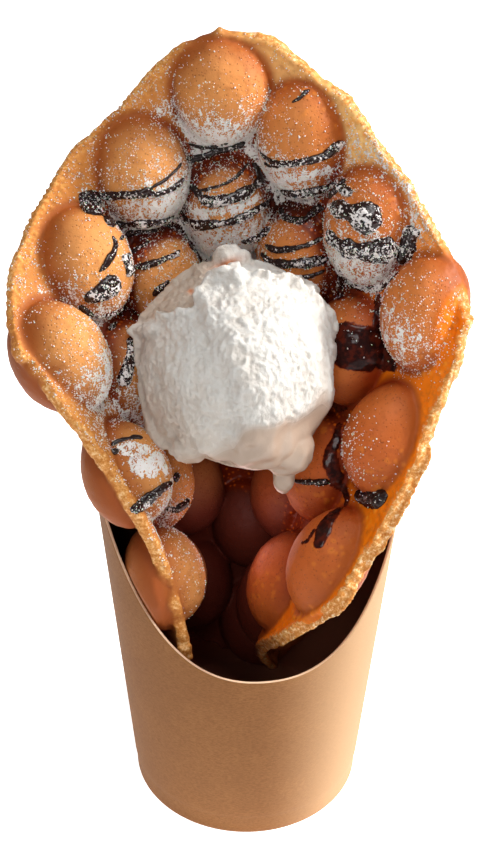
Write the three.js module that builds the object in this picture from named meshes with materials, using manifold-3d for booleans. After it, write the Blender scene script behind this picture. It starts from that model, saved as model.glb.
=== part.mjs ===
// A bubble waffle rolled into a paper scoop cup, with one scoop of ice cream in the roll and
// thick chocolate drizzle over its upper bubbles.
//
// Millimetres, +Z up, and the roll is open towards -Y. Everything is worked out from the cup's
// axis and foot; at the end the whole is moved so that the origin is under the middle of its box.
// The waffle is described flat first, as a lattice of bubbles counted in columns (across, + towards
// +X) and rows (down from the top corner), and sheetPoint() rolls that lattice up into the cup.

import * as THREE from 'three';
import { mergeVertices } from 'three/addons/utils/BufferGeometryUtils.js';
import Module from 'manifold-3d';

const wasm = await Module();
wasm.setup();

// ---- Driving dimensions ----------------------------------------------------------------------

const DEGREE = Math.PI / 180;
const GAP = 0.3;                    // left between pieces that rest on each other

const CUP = {
  footRadius: 32.5,
  taper: 4.74 * DEGREE,             // of the wall, opening upwards
  wall: 0.7,
  foot: 1.5,                        // the wall folded up round the base disc, at the bottom edge
  skirt: 6,                         // the base disc sits this far up inside the foot
  disc: 1.2,
  frontHeight: 61,                  // the scooped rim, at its lowest
  backHeight: 150,                  // and behind the waffle
  lowestAzimuth: 8 * DEGREE,        // from the front, towards +X
  riseSpan: 135 * DEGREE,           // the rim reaches its full height this far round
  risePower: 1.3,
  facets: 44,
};

const LATTICE = {
  columns: 3,                       // on each side of the middle column
  rows: 5,                          // from the top bubble of the middle column to its lowest
  columnPitch: 20.6,
  rowPitch: 33.1,
  turned: 4.5 * DEGREE,             // the lattice lies a little askew in the roll
};

const BUBBLE = {
  halfWidth: 12,
  halfHeight: 15,
  dome: 12,                        // above the middle of the sheet, on both faces
  towardLeft: 0.84,                // half-width of the left column's inner domes towards the edge
  towardRight: 0.8,                // and of both domes of the right column
  towardTop: 0.87,                 // half-height of the top bubble towards its corner
  unevenness: 0.03,
  facets: 12,
  rings: 6,
};

// Bubbles that baked out of line, and how far: across and up, in millimetres.
const STRAYS = [
  { column: -2, row: 1, across: -2, up: -2.5 },
  { column: -1, row: 0.5, across: -1, up: -2.5 },
  { column: -1, row: 1.5, across: -1, up: 1 },
  { column: 1, row: 0.5, across: 0, up: 2.5 },
  { column: 1, row: 1.5, across: 0, up: 2.5 },
  { column: -3, row: 3.5, across: -1, up: 0 },
];

// Outer domes that the cup's wall holds flatter, as a share of the full dome.
const PRESSED = [
  { column: -3, row: 2.5, outer: 0.78 },
  { column: -3, row: 3.5, outer: 0.72 },
  { column: 3, row: 2.5, outer: 0.8 },
  { column: 3, row: 3.5, outer: 0.7 },
];

const SHEET = {
  thickness: 3.4,
  sideMargin: 0.6,                  // edge beyond the outer columns, in columns
  cornerMargin: 0.65,               // edge beyond the slanting rows, in rows
  endCut: 0.19,                     // how much the top and bottom corners are rounded off, in rows
  sideCut: 0.15,                    // and the four corners of the sides
  curl: 3.2,                        // the left edge curls this far into the roll, from row 2 down
  crumble: 0.8,                     // how far the torn edge wanders
  acrossSteps: 20,
  downSteps: 10,
};

// Where the batter ran out further than that, or less far: a column on the top or bottom edge, by
// how many rows, and over how many columns.
const RUNS = [
  { way: 'top', column: -3.2, rows: 0.08, width: 0.4 },
  { way: 'top', column: -1.2, rows: -0.07, width: 0.5 },
  { way: 'top', column: 0.5, rows: 0.05, width: 0.35 },
  { way: 'top', column: 1.55, rows: 0.1, width: 0.3 },
  { way: 'top', column: 3, rows: -0.07, width: 0.4 },
  { way: 'top', column: 3.65, rows: -0.15, width: 0.25 },
  { way: 'bottom', column: -3.7, rows: 0.45, width: 0.6 },
];

// The roll: each side of the sheet turns forwards by `turn` at mid height, less towards the top
// (`open`), and has turned fully at `turnedBy` of its width.
const ROLL = {
  place: new THREE.Vector3(-3.7, 31.3, 115.4),
  leanBack: 1 * DEGREE,
  leanSide: 0.3 * DEGREE,
  left: { turn: 80.6 * DEGREE, open: 44.3 * DEGREE, bend: -26.7 * DEGREE, turnedBy: 0.68 },
  right: { turn: 61.2 * DEGREE, open: 41.7 * DEGREE, bend: 12.3 * DEGREE, turnedBy: 0.42 },
  halfColumns: 3.55,
  arch: -5.3,                       // the top and bottom corners lean forwards
  bow: 1.9,                         // and towards +X
  gather: 0.013,                    // the rows spread sideways towards the top
  droop: 0.07,                      // the outer columns are shorter
};

const SCOOP = {
  centre: new THREE.Vector3(-3.8, -5, 140),
  radius: 24.8,
  above: 24,                        // its crown over the centre
  below: 27.5,                      // and its melting foot under it
  collar: 2.2,                      // the ragged roll that the scoop left round the foot
  collarAt: -40 * DEGREE,
  relief: 0.45,
  facets: 26,
  rings: 15,
};

// What hangs on the scoop: a torn tuft at the back of the crown, melt on both sides, and drips.
const SCOOP_LUMPS = [
  { at: [-5, 8, 159.5], halfSize: [5.2, 4.4, 4.2] },
  { at: [9, -17.5, 121], halfSize: [7.5, 5.5, 7] },
  { at: [8.6, -18.5, 113], halfSize: [2.6, 2.4, 5.5] },
  { at: [-14.5, -19.5, 122], halfSize: [4.5, 3.6, 4.2] },
];

const DRIZZLE = { facets: 4, stepLength: 4.6, proud: 0.15, rimShare: 0.97 };

// Thick bands of chocolate. Each hangs across one bubble like a swag: `level` is its height on the
// bubble in half-heights, as a curve of the place across it in half-widths, from `from` to `to`.
const BANDS = [
  { column: -3, row: 2.5, from: -0.5, to: -0.05, level: 0.5, tilt: -0.5, sag: 0, width: 2.4 },
  { column: -3, row: 2.5, from: -0.75, to: 0.15, level: -0.44, tilt: -0.2, sag: 0, width: 2.2 },
  { column: -2, row: 1, from: -0.4, to: 0.25, level: 0.12, tilt: 0.38, sag: 0, width: 1.6 },
  { column: -2, row: 1, from: -0.85, to: 0.3, level: -0.21, tilt: 0.18, sag: 0, width: 2.6 },
  { column: -1, row: 0.5, from: -0.9, to: 0.8, level: -0.08, tilt: 0.09, sag: 0.02, width: 2 },
  { column: -1, row: 0.5, from: -0.7, to: 0.6, level: -0.79, tilt: 0.02, sag: 0.25, width: 1.8 },
  { column: -1, row: 1.5, from: -0.65, to: 0.65, level: 0.66, tilt: 0.05, sag: -0.15, width: 1.9 },
  { column: 0, row: 1, from: -0.6, to: 0.5, level: 0.66, tilt: 0.24, sag: 0.1, width: 1.4 },
  { column: 0, row: 1, from: -0.78, to: 0.8, level: 0.45, tilt: 0.02, sag: 0.02, width: 2.2 },
  { column: 0, row: 1, from: -0.9, to: 0.9, level: 0.07, tilt: 0.04, sag: 0, width: 2 },
  { column: 1, row: 0.5, from: 0.03, to: 0.32, level: 0.75, tilt: 0.5, sag: 0, width: 1.3 },
  { column: 1, row: 0.5, from: -0.82, to: 0.95, level: -0.11, tilt: 0.08, sag: 0.13, width: 2.1 },
  { column: 1, row: 0.5, from: -0.6, to: 0.65, level: -0.72, tilt: -0.1, sag: 0.25, width: 1.8 },
  { column: 1, row: 1.5, from: -0.35, to: 0.75, level: 0.38, tilt: 0.1, sag: 0.2, width: 1.9 },
  { column: 1, row: 1.5, from: -0.32, to: 0.9, level: 0.19, tilt: -0.03, sag: 0.11, width: 2 },
  { column: 2, row: 1, from: -0.5, to: 0.6, level: 0.38, tilt: -0.02, sag: 0, width: 2.8 },
  { column: 2, row: 1, from: -0.5, to: 0.95, level: -0.18, tilt: -0.22, sag: 0.4, width: 2.9 },
];

// Where the chocolate gathered into blobs, in the same shares of a bubble, and half their sizes.
const BLOBS = [
  { column: -1, row: 0.5, across: -1.02, up: -0.14, halfAcross: 2.4, halfUp: 3.4, thick: 1.8 },
  { column: 1, row: 0.5, across: 0.92, up: 0.08, halfAcross: 1.8, halfUp: 1.9, thick: 1.5 },
  { column: 1, row: 1.5, across: 0.3, up: 0.82, halfAcross: 3.6, halfUp: 1.3, thick: 1.2 },
  { column: 2, row: 1, across: 0.42, up: 0.33, halfAcross: 3.4, halfUp: 2.6, thick: 1.6 },
  { column: 2, row: 1, across: 0.93, up: -0.02, halfAcross: 2.4, halfUp: 4.2, thick: 1.9 },
  { column: 3, row: 3.5, across: -0.12, up: 0.55, halfAcross: 4.2, halfUp: 3, thick: 1 },
];

// ---- Solids ----------------------------------------------------------------------------------

function toSolid(geometry) {
  const bare = geometry.clone();
  bare.deleteAttribute('normal');
  bare.deleteAttribute('uv');
  const merged = mergeVertices(bare, 1e-4);
  return new wasm.Manifold(new wasm.Mesh({
    numProp: 3,
    vertProperties: new Float32Array(merged.attributes.position.array),
    triVerts: new Uint32Array(merged.index.array),
  }));
}

function toGeometry(solid) {
  const mesh = solid.getMesh();
  return indexedGeometry(Array.from(mesh.vertProperties), Array.from(mesh.triVerts));
}

function indexedGeometry(coordinates, indices) {
  const geometry = new THREE.BufferGeometry();
  geometry.setAttribute('position', new THREE.Float32BufferAttribute(coordinates, 3));
  geometry.setIndex(indices);
  return geometry;
}

// The largest of a body's separate lumps, by how many faces it has.
function mainLump(geometry) {
  const parent = Array.from({ length: geometry.attributes.position.count }, (_, i) => i);
  const root = (i) => {
    while (parent[i] !== i) {
      parent[i] = parent[parent[i]];
      i = parent[i];
    }
    return i;
  };
  const index = geometry.index.array;
  for (let i = 0; i < index.length; i += 3) {
    parent[root(index[i])] = root(index[i + 1]);
    parent[root(index[i + 1])] = root(index[i + 2]);
  }
  const faceCount = new Map();
  for (let i = 0; i < index.length; i += 3) {
    const lump = root(index[i]);
    faceCount.set(lump, (faceCount.get(lump) ?? 0) + 1);
  }
  const [main] = [...faceCount].sort((a, b) => b[1] - a[1])[0];
  const kept = [];
  for (let i = 0; i < index.length; i += 3) {
    if (root(index[i]) === main) kept.push(index[i], index[i + 1], index[i + 2]);
  }
  geometry.setIndex(kept);
  return geometry;
}

// A grid of points, rows[i][j], closed into quads; `wrap` joins the last column to the first.
function gridFaces(rowCount, columnCount, wrap, start, flipped) {
  const faces = [];
  const lastColumn = wrap ? columnCount : columnCount - 1;
  for (let i = 0; i < rowCount - 1; i++) {
    for (let j = 0; j < lastColumn; j++) {
      const next = (j + 1) % columnCount;
      const a = start + i * columnCount + j;
      const b = start + i * columnCount + next;
      const c = start + (i + 1) * columnCount + next;
      const d = start + (i + 1) * columnCount + j;
      faces.push(...(flipped ? [a, c, b, a, d, c] : [a, b, c, a, c, d]));
    }
  }
  return faces;
}

// ---- The rolled lattice ----------------------------------------------------------------------

const X_AXIS = new THREE.Vector3(1, 0, 0);
const Y_AXIS = new THREE.Vector3(0, 1, 0);
const MIDDLE_ROW = LATTICE.rows / 2;

// Where the middle of the sheet lies, at a place given in columns across and rows down.
function sheetPoint(flatColumn, flatRow) {
  const slices = 24;
  const flatAcross = flatColumn * LATTICE.columnPitch;
  const flatUp = (MIDDLE_ROW - flatRow) * LATTICE.rowPitch;
  const cosine = Math.cos(LATTICE.turned);
  const sine = Math.sin(LATTICE.turned);
  const column = (flatAcross * cosine - flatUp * sine) / LATTICE.columnPitch;
  const level = (flatAcross * sine + flatUp * cosine) / LATTICE.rowPitch / MIDDLE_ROW;
  const side = column < 0 ? ROLL.left : ROLL.right;
  const turn = side.turn - side.open * level + side.bend * level ** 2;
  const reach = Math.abs(column);
  const slice = reach * LATTICE.columnPitch * (1 + ROLL.gather * level) / slices;
  let across = 0;
  let forward = 0;
  for (let i = 0; i < slices; i++) {
    const share = reach * (i + 0.5) / slices / ROLL.halfColumns;
    const heading = turn * Math.sin(Math.PI / 2 * Math.min(1, share / side.turnedBy));
    across += Math.cos(heading) * slice;
    forward += Math.sin(heading) * slice;
  }
  const height = LATTICE.rowPitch * MIDDLE_ROW * level;
  return new THREE.Vector3(
    Math.sign(column) * across + ROLL.bow * level ** 2,
    ROLL.arch * level ** 2 - forward,
    height * (1 - ROLL.droop * (reach / ROLL.halfColumns) ** 2),
  ).applyAxisAngle(X_AXIS, -ROLL.leanBack).applyAxisAngle(Y_AXIS, ROLL.leanSide).add(ROLL.place);
}

// The sheet's own directions at a place: across, up, and out of its inner (front) face.
function sheetFrame(column, row) {
  const nudge = 0.02;
  const across = sheetPoint(column + nudge, row).sub(sheetPoint(column - nudge, row)).normalize();
  const up = sheetPoint(column, row - nudge).sub(sheetPoint(column, row + nudge)).normalize();
  const inward = new THREE.Vector3().crossVectors(across, up).normalize();
  up.crossVectors(inward, across);
  return { across, up, inward };
}

// ---- Waffle ----------------------------------------------------------------------------------

// A repeatable uneven number from -1 to 1.
function uneven(seed) {
  const value = Math.sin(seed * 127.1 + 311.7) * 43758.5453;
  return 2 * (value - Math.floor(value)) - 1;
}

// Every bubble of the lattice: 3, 4, 5, 6, 5, 4 and 3 of them in the seven columns.
function bubbleList() {
  const list = [];
  for (let column = -LATTICE.columns; column <= LATTICE.columns; column++) {
    const first = Math.abs(column) / 2;
    for (let row = first; row <= LATTICE.rows - first; row++) {
      const seed = list.length + 1;
      const size = 1 + BUBBLE.unevenness * uneven(seed);
      const frame = sheetFrame(column, row);
      const centre = sheetPoint(column, row);
      const stray = STRAYS.find((one) => one.column === column && one.row === row);
      if (stray) centre.addScaledVector(frame.across, stray.across).addScaledVector(frame.up, stray.up);
      list.push({
        column,
        row,
        halfWidth: BUBBLE.halfWidth * size,
        halfHeight: BUBBLE.halfHeight * (1 + BUBBLE.unevenness * uneven(seed + 40)),
        dome: BUBBLE.dome * size,
        outer: PRESSED.find((one) => one.column === column && one.row === row)?.outer ?? 1,
        centre,
        frame,
      });
    }
  }
  return list;
}

const BUBBLES = bubbleList();

function bubbleSolid(bubble, grow) {
  const { across, up, inward } = bubble.frame;
  const place = new THREE.Matrix4().makeBasis(
    across.clone().multiplyScalar(bubble.halfWidth + grow),
    inward.clone().multiplyScalar(bubble.dome + grow),
    up.clone().multiplyScalar(-(bubble.halfHeight + grow)),
  ).setPosition(bubble.centre);
  const ball = new THREE.SphereGeometry(1, BUBBLE.facets, BUBBLE.rings);
  const position = ball.attributes.position;
  const narrowed = (x, y) => {
    if (bubble.column === -LATTICE.columns && x < 0 && y > 0) return BUBBLE.towardLeft;
    if (bubble.column === LATTICE.columns && x > 0) return BUBBLE.towardRight;
    return 1;
  };
  const shortTop = bubble.row === 0 ? BUBBLE.towardTop : 1;
  for (let i = 0; i < position.count; i++) {
    const [x, y, z] = [position.getX(i), position.getY(i), position.getZ(i)];
    position.setXYZ(
      i,
      x * narrowed(x, y),
      y < 0 ? y * bubble.outer : y,
      z < 0 ? z * shortTop : z,
    );
  }
  return toSolid(ball.applyMatrix4(place));
}

// How far the sheet reaches up (way 'top') or down (way 'bottom') from its middle at a column, in
// rows: a hexagon with rounded corners, give or take the runs.
function sheetReach(column, way) {
  const reach = Math.abs(column);
  const fromSide = LATTICE.columns + SHEET.sideMargin - reach;
  const rounding = SHEET.endCut * Math.exp(-((reach / 0.42) ** 2))
    + SHEET.sideCut * Math.exp(-((fromSide / 0.5) ** 2));
  const run = RUNS.filter((one) => one.way === way)
    .reduce((sum, one) => sum + one.rows * Math.exp(-(((column - one.column) / one.width) ** 2)), 0);
  return MIDDLE_ROW + SHEET.cornerMargin - reach / 2 - rounding + run;
}

// The sheet between the bubbles, one closed slab with a crumbling edge.
function sheetSolid(grow) {
  const across = SHEET.acrossSteps + 1;
  const down = SHEET.downSteps + 1;
  const inner = [];
  const outer = [];
  for (let j = 0; j < down; j++) {
    for (let i = 0; i < across; i++) {
      const sideShare = 2 * i / SHEET.acrossSteps - 1;
      const downShare = 2 * j / SHEET.downSteps - 1;
      const edge = Math.abs(sideShare) === 1 || Math.abs(downShare) === 1;
      const wander = edge ? SHEET.crumble * uneven(i * 7.3 + j * 3.1) + grow : 0;
      const column = sideShare * (LATTICE.columns + SHEET.sideMargin + wander / LATTICE.columnPitch);
      const half = sheetReach(column, downShare < 0 ? 'top' : 'bottom') + wander / LATTICE.rowPitch;
      const row = MIDDLE_ROW + downShare * half;
      const middle = sheetPoint(column, row);
      const { inward } = sheetFrame(column, row);
      const curled = THREE.MathUtils.smoothstep(-column, 2.8, 3.5) * THREE.MathUtils.smoothstep(row, 0.8, 2);
      middle.addScaledVector(inward, SHEET.curl * curled);
      const offset = SHEET.thickness / 2 + grow;
      inner.push(...middle.clone().addScaledVector(inward, offset).toArray());
      outer.push(...middle.clone().addScaledVector(inward, -offset).toArray());
    }
  }
  const count = across * down;
  const faces = [
    ...gridFaces(down, across, false, 0, true),
    ...gridFaces(down, across, false, count, false),
  ];
  const loop = [];
  for (let i = 0; i < across - 1; i++) loop.push(i);
  for (let j = 0; j < down - 1; j++) loop.push(j * across + across - 1);
  for (let i = across - 1; i > 0; i--) loop.push((down - 1) * across + i);
  for (let j = down - 1; j > 0; j--) loop.push(j * across);
  loop.forEach((a, k) => {
    const b = loop[(k + 1) % loop.length];
    faces.push(a, b, b + count, a, b + count, a + count);
  });
  return toSolid(indexedGeometry([...inner, ...outer], faces));
}

// A place on a bubble's inner dome, in shares of its half-width and half-height from its middle.
function domePoint(bubble, acrossShare, upShare) {
  const reach = Math.hypot(acrossShare, upShare);
  const pull = reach > DRIZZLE.rimShare ? DRIZZLE.rimShare / reach : 1;
  const x = acrossShare * pull;
  const y = upShare * pull;
  const { across, up, inward } = bubble.frame;
  return bubble.centre.clone()
    .addScaledVector(across, x * bubble.halfWidth)
    .addScaledVector(up, y * bubble.halfHeight)
    .addScaledVector(inward, Math.sqrt(1 - x * x - y * y) * bubble.dome);
}

// Straight out of the inner dome at such a place.
function domeNormal(bubble, point) {
  const { across, up, inward } = bubble.frame;
  const arm = point.clone().sub(bubble.centre);
  return new THREE.Vector3()
    .addScaledVector(across, arm.dot(across) / bubble.halfWidth ** 2)
    .addScaledVector(up, arm.dot(up) / bubble.halfHeight ** 2)
    .addScaledVector(inward, arm.dot(inward) / bubble.dome ** 2)
    .normalize();
}

function bubbleAt(column, row) {
  return BUBBLES.find((bubble) => bubble.column === column && bubble.row === row);
}

function bandSolid(band, grow) {
  const bubble = bubbleAt(band.column, band.row);
  const steps = Math.ceil((band.to - band.from) * bubble.halfWidth * 1.2 / DRIZZLE.stepLength) + 1;
  const points = [];
  for (let i = 0; i <= steps; i++) {
    const across = band.from + (band.to - band.from) * i / steps;
    const up = band.level + band.tilt * across + band.sag * across ** 2;
    const point = domePoint(bubble, across, up);
    points.push(point.addScaledVector(domeNormal(bubble, point), DRIZZLE.proud * band.width));
  }
  const section = new THREE.Shape();
  for (let k = 0; k < DRIZZLE.facets; k++) {
    const angle = 2 * Math.PI * k / DRIZZLE.facets;
    const radius = band.width / 2 + grow;
    section[k ? 'lineTo' : 'moveTo'](radius * Math.cos(angle), radius * Math.sin(angle));
  }
  return toSolid(new THREE.ExtrudeGeometry(section, {
    steps,
    bevelEnabled: false,
    extrudePath: new THREE.CatmullRomCurve3(points),
  }));
}

function blobSolid(blob, grow) {
  const bubble = bubbleAt(blob.column, blob.row);
  const point = domePoint(bubble, blob.across, blob.up);
  const out = domeNormal(bubble, point);
  const side = new THREE.Vector3().crossVectors(bubble.frame.up, out).normalize();
  const top = new THREE.Vector3().crossVectors(out, side);
  const place = new THREE.Matrix4().makeBasis(
    side.multiplyScalar(blob.halfAcross + grow),
    out.multiplyScalar(blob.thick + grow),
    top.multiplyScalar(-(blob.halfUp + grow)),
  ).setPosition(point);
  return toSolid(new THREE.SphereGeometry(1, 8, 4).applyMatrix4(place));
}

// Sheet, bubbles and the chocolate that set on them. `grow` swells it all, to cut a clearance.
function waffleSolid(grow) {
  const pieces = [
    ...BUBBLES.map((bubble) => bubbleSolid(bubble, grow)),
    ...BANDS.map((band) => bandSolid(band, grow)),
    ...BLOBS.map((blob) => blobSolid(blob, grow)),
  ];
  return pieces.reduce((body, solid) => body.add(solid), sheetSolid(grow));
}

// ---- Paper cup -------------------------------------------------------------------------------

function wallRadius(height) {
  return CUP.footRadius + Math.tan(CUP.taper) * height;
}

// Height of the scooped rim at an azimuth from the front, + towards +X.
function rimHeight(azimuth) {
  const turned = Math.abs(Math.atan2(
    Math.sin(azimuth - CUP.lowestAzimuth),
    Math.cos(azimuth - CUP.lowestAzimuth),
  ));
  const share = Math.min(1, turned / CUP.riseSpan) ** CUP.risePower;
  return CUP.frontHeight + (CUP.backHeight - CUP.frontHeight) * Math.sin(Math.PI / 2 * share) ** 2;
}

// A body turned round the cup's axis whose rings may differ in height around it. The first and
// last rings close on the axis.
function turnedBody(rings) {
  const points = [];
  for (const ring of rings) {
    for (let k = 0; k < CUP.facets; k++) {
      const azimuth = 2 * Math.PI * k / CUP.facets;
      const { radius, height } = ring(azimuth);
      points.push(radius * Math.sin(azimuth), -radius * Math.cos(azimuth), height);
    }
  }
  const faces = gridFaces(rings.length, CUP.facets, true, 0, false);
  return { points, faces };
}

function closedOnAxis(rings, bottomHeight, topHeight) {
  const { points, faces } = turnedBody(rings);
  const bottom = points.length / 3;
  points.push(0, 0, bottomHeight, 0, 0, topHeight);
  const lastRing = (rings.length - 1) * CUP.facets;
  for (let k = 0; k < CUP.facets; k++) {
    const next = (k + 1) % CUP.facets;
    faces.push(bottom, next, k);
    faces.push(bottom + 1, lastRing + k, lastRing + next);
  }
  return indexedGeometry(points, faces);
}

function cupGeometry() {
  const discTop = CUP.skirt + CUP.disc;
  const inside = (height) => wallRadius(height) - CUP.wall;
  return closedOnAxis([
    () => ({ radius: CUP.footRadius - CUP.foot, height: CUP.skirt }),
    () => ({ radius: CUP.footRadius - CUP.foot, height: 0 }),
    () => ({ radius: wallRadius(0), height: 0 }),
    (azimuth) => ({ radius: wallRadius(rimHeight(azimuth)), height: rimHeight(azimuth) }),
    (azimuth) => ({ radius: inside(rimHeight(azimuth)), height: rimHeight(azimuth) }),
    () => ({ radius: inside(discTop), height: discTop }),
  ], CUP.skirt, discTop);
}

// What the waffle has to keep out of: the wall, and all that lies outside the cup below its rim.
function outsideCup() {
  const far = 120;
  const inside = (height) => wallRadius(height) - CUP.wall - GAP;
  const below = -10;
  // Just over the rim the waffle bulges out again only slowly.
  const held = 8;
  const bulge = 3;
  const rings = [
    () => ({ radius: inside(below), height: below }),
    () => ({ radius: far, height: below }),
    (azimuth) => ({ radius: far, height: rimHeight(azimuth) + held }),
    (azimuth) => ({ radius: inside(rimHeight(azimuth)) + bulge, height: rimHeight(azimuth) + held }),
    (azimuth) => ({ radius: inside(rimHeight(azimuth)), height: rimHeight(azimuth) + GAP }),
    () => ({ radius: inside(below), height: below }),
  ];
  const { points, faces } = turnedBody(rings);
  return toSolid(indexedGeometry(points, faces));
}

// ---- Ice cream -------------------------------------------------------------------------------

// How far the scoop's skin lies off its plain shape in a direction from its centre.
function scoopRelief(direction) {
  const latitude = Math.asin(direction.z);
  const wave = Math.sin(7.1 * direction.x + 3 * direction.z) * Math.cos(6.3 * direction.y - 1.2)
    + 0.7 * Math.sin(11.7 * direction.z + 8.9 * direction.x * direction.y + 0.8);
  const collar = SCOOP.collar * Math.exp(-(((latitude - SCOOP.collarAt) / 0.3) ** 2));
  return collar + SCOOP.relief * wave;
}

function scoopSolid() {
  const ball = new THREE.SphereGeometry(1, SCOOP.facets, SCOOP.rings).rotateX(Math.PI / 2);
  const position = ball.attributes.position;
  const direction = new THREE.Vector3();
  for (let i = 0; i < position.count; i++) {
    direction.fromBufferAttribute(position, i);
    const height = direction.z > 0 ? SCOOP.above : SCOOP.below;
    const relief = scoopRelief(direction);
    position.setXYZ(
      i,
      SCOOP.centre.x + direction.x * (SCOOP.radius + relief),
      SCOOP.centre.y + direction.y * (SCOOP.radius + relief),
      SCOOP.centre.z + direction.z * (height + relief),
    );
  }
  return SCOOP_LUMPS.reduce((body, lump) => {
    const shape = new THREE.SphereGeometry(1, 8, 6).scale(...lump.halfSize).translate(...lump.at);
    return body.add(toSolid(shape));
  }, toSolid(ball));
}

// ---- Pieces ----------------------------------------------------------------------------------

function paint(colour, roughness) {
  return new THREE.MeshStandardMaterial({ color: colour, roughness, metalness: 0 });
}

function piece(name, geometry, material) {
  const mesh = new THREE.Mesh(geometry, material);
  mesh.name = name;
  return mesh;
}

const waffle = waffleSolid(0).subtract(outsideCup());
const iceCream = scoopSolid().subtract(waffleSolid(GAP));

const part = new THREE.Group();
part.add(piece('cup', cupGeometry(), paint(0xb98a5e, 0.85)));
part.add(piece('waffle', mainLump(toGeometry(waffle)), paint(0xd08a3c, 0.7)));
part.add(piece('ice_cream', mainLump(toGeometry(iceCream)), paint(0xf2ead8, 0.6)));

const box = new THREE.Box3().setFromObject(part);
const middle = box.getCenter(new THREE.Vector3());
part.position.set(-middle.x, -middle.y, -box.min.z);

export default part;
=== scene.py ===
"""A bubble waffle rolled into a kraft paper scoop cup, with a scoop of ice cream in the roll.

Shapes are worked out in millimetres from the cup's axis and foot, +Z up and the roll open towards
-Y, as numpy arrays of points. Shell.to_object() moves them into the part's frame, in metres.
"""

import math

import bpy
import numpy as np
from mathutils import Matrix, Vector
from mathutils.bvhtree import BVHTree
from mathutils.kdtree import KDTree


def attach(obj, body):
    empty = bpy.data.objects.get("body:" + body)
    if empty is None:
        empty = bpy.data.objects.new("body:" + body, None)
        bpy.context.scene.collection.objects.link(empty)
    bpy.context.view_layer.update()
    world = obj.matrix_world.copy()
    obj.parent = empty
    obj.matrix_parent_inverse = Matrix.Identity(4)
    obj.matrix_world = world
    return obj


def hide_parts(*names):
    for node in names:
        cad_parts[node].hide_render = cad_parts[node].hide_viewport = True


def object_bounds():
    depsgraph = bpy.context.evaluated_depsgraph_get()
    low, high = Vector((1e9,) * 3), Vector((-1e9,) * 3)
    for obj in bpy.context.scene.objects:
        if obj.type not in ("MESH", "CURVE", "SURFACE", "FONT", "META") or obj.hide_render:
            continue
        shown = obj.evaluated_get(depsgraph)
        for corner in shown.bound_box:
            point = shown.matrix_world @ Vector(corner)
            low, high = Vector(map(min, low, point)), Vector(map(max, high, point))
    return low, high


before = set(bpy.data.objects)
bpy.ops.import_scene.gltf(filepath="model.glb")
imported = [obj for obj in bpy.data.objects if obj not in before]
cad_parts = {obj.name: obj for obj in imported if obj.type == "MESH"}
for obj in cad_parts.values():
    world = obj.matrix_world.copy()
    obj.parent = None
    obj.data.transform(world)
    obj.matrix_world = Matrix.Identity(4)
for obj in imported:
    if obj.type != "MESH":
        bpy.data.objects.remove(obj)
cad_box = [list(corner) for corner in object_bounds()]

# ---- Driving dimensions, in millimetres and radians ----

DEGREE = math.pi / 180
MM = 0.001
CUP_AXIS = np.array([2.468, -3.394, 0.0])    # where the cup's axis stands in the part's frame
PART_LOW, PART_HIGH = (np.array(corner) / MM - CUP_AXIS for corner in cad_box)

CUP = dict(foot_radius=32.5, taper=4.74 * DEGREE, wall=0.7, foot=1.5, skirt=6.0, disc=1.2,
           front=61.0, back=150.0, lowest=8 * DEGREE, span=135 * DEGREE, power=1.3)
FOLD_END = 7.4                     # the foot's fold has died out at this height
CUP_GAP = 0.3

COLUMNS, ROWS = 3, 5
COLUMN_PITCH, ROW_PITCH = 20.6, 33.1
LATTICE_TURNED = 4.5 * DEGREE
HALF_WIDTH, HALF_HEIGHT, DOME = 12.0, 15.0, 12.0
UNEVENNESS = 0.03
# Bubbles that baked out of line: (column, row): across and up.
STRAYS = {
    (-2, 1): (-2, -2.5),
    (-1, 0.5): (-1, -2.5),
    (-1, 1.5): (-1, 1),
    (1, 0.5): (0, 2.5),
    (1, 1.5): (0, 2.5),
    (-3, 3.5): (-1, 0),
}

# Outer domes that the cup's wall holds flatter, as a share of the full dome.
PRESSED = {(-3, 2.5): 0.78, (-3, 3.5): 0.72, (3, 2.5): 0.8, (3, 3.5): 0.7}
# Bubbles next to the edge are narrower towards it: the left column's inner domes, both domes of the
# right column, and the upper half of the top bubble.
TOWARD_LEFT, TOWARD_RIGHT, TOWARD_TOP = 0.84, 0.8, 0.87

SHEET_THICKNESS = 3.4
SIDE_MARGIN, CORNER_MARGIN = 0.6, 0.65
END_CUT, SIDE_CUT = 0.19, 0.15
EDGE_CURL = 3.2                    # the left edge curls this far into the roll, from row 2 down
# Where the batter ran out further or less far: edge (-1 top, 1 bottom), column, rows, width.
RUNS = [
    (-1, -3.2, 0.08, 0.4),
    (-1, -1.2, -0.07, 0.5),
    (-1, 0.5, 0.05, 0.35),
    (-1, 1.55, 0.1, 0.3),
    (-1, 3.0, -0.07, 0.4),
    (-1, 3.65, -0.15, 0.25),
    (1, -3.7, 0.45, 0.6),
]

ROLL_PLACE = np.array([-3.7, 31.3, 115.4])
LEAN_BACK, LEAN_SIDE = 1 * DEGREE, 0.3 * DEGREE
LEFT = dict(turn=80.6 * DEGREE, open=44.3 * DEGREE, bend=-26.7 * DEGREE, by=0.68)
RIGHT = dict(turn=61.2 * DEGREE, open=41.7 * DEGREE, bend=12.3 * DEGREE, by=0.42)
HALF_COLUMNS = 3.55
ARCH, BOW, GATHER, DROOP = -5.3, 1.9, 0.013, 0.07

SCOOP_CENTRE = np.array([-3.8, -5.0, 140.0])
SCOOP_RADIUS, SCOOP_ABOVE, SCOOP_BELOW = 24.8, 24.0, 27.5
SCOOP_COLLAR, COLLAR_AT = 2.2, -40 * DEGREE
SCOOP_LUMPS = [
    ((-5, 8, 159.5), (5.2, 4.4, 4.2)),
    ((9, -17.5, 121), (7.5, 5.5, 7)),
    ((8.6, -18.5, 113), (2.6, 2.4, 5.5)),
    ((-14.5, -19.5, 122), (4.5, 3.6, 4.2)),
]

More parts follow.
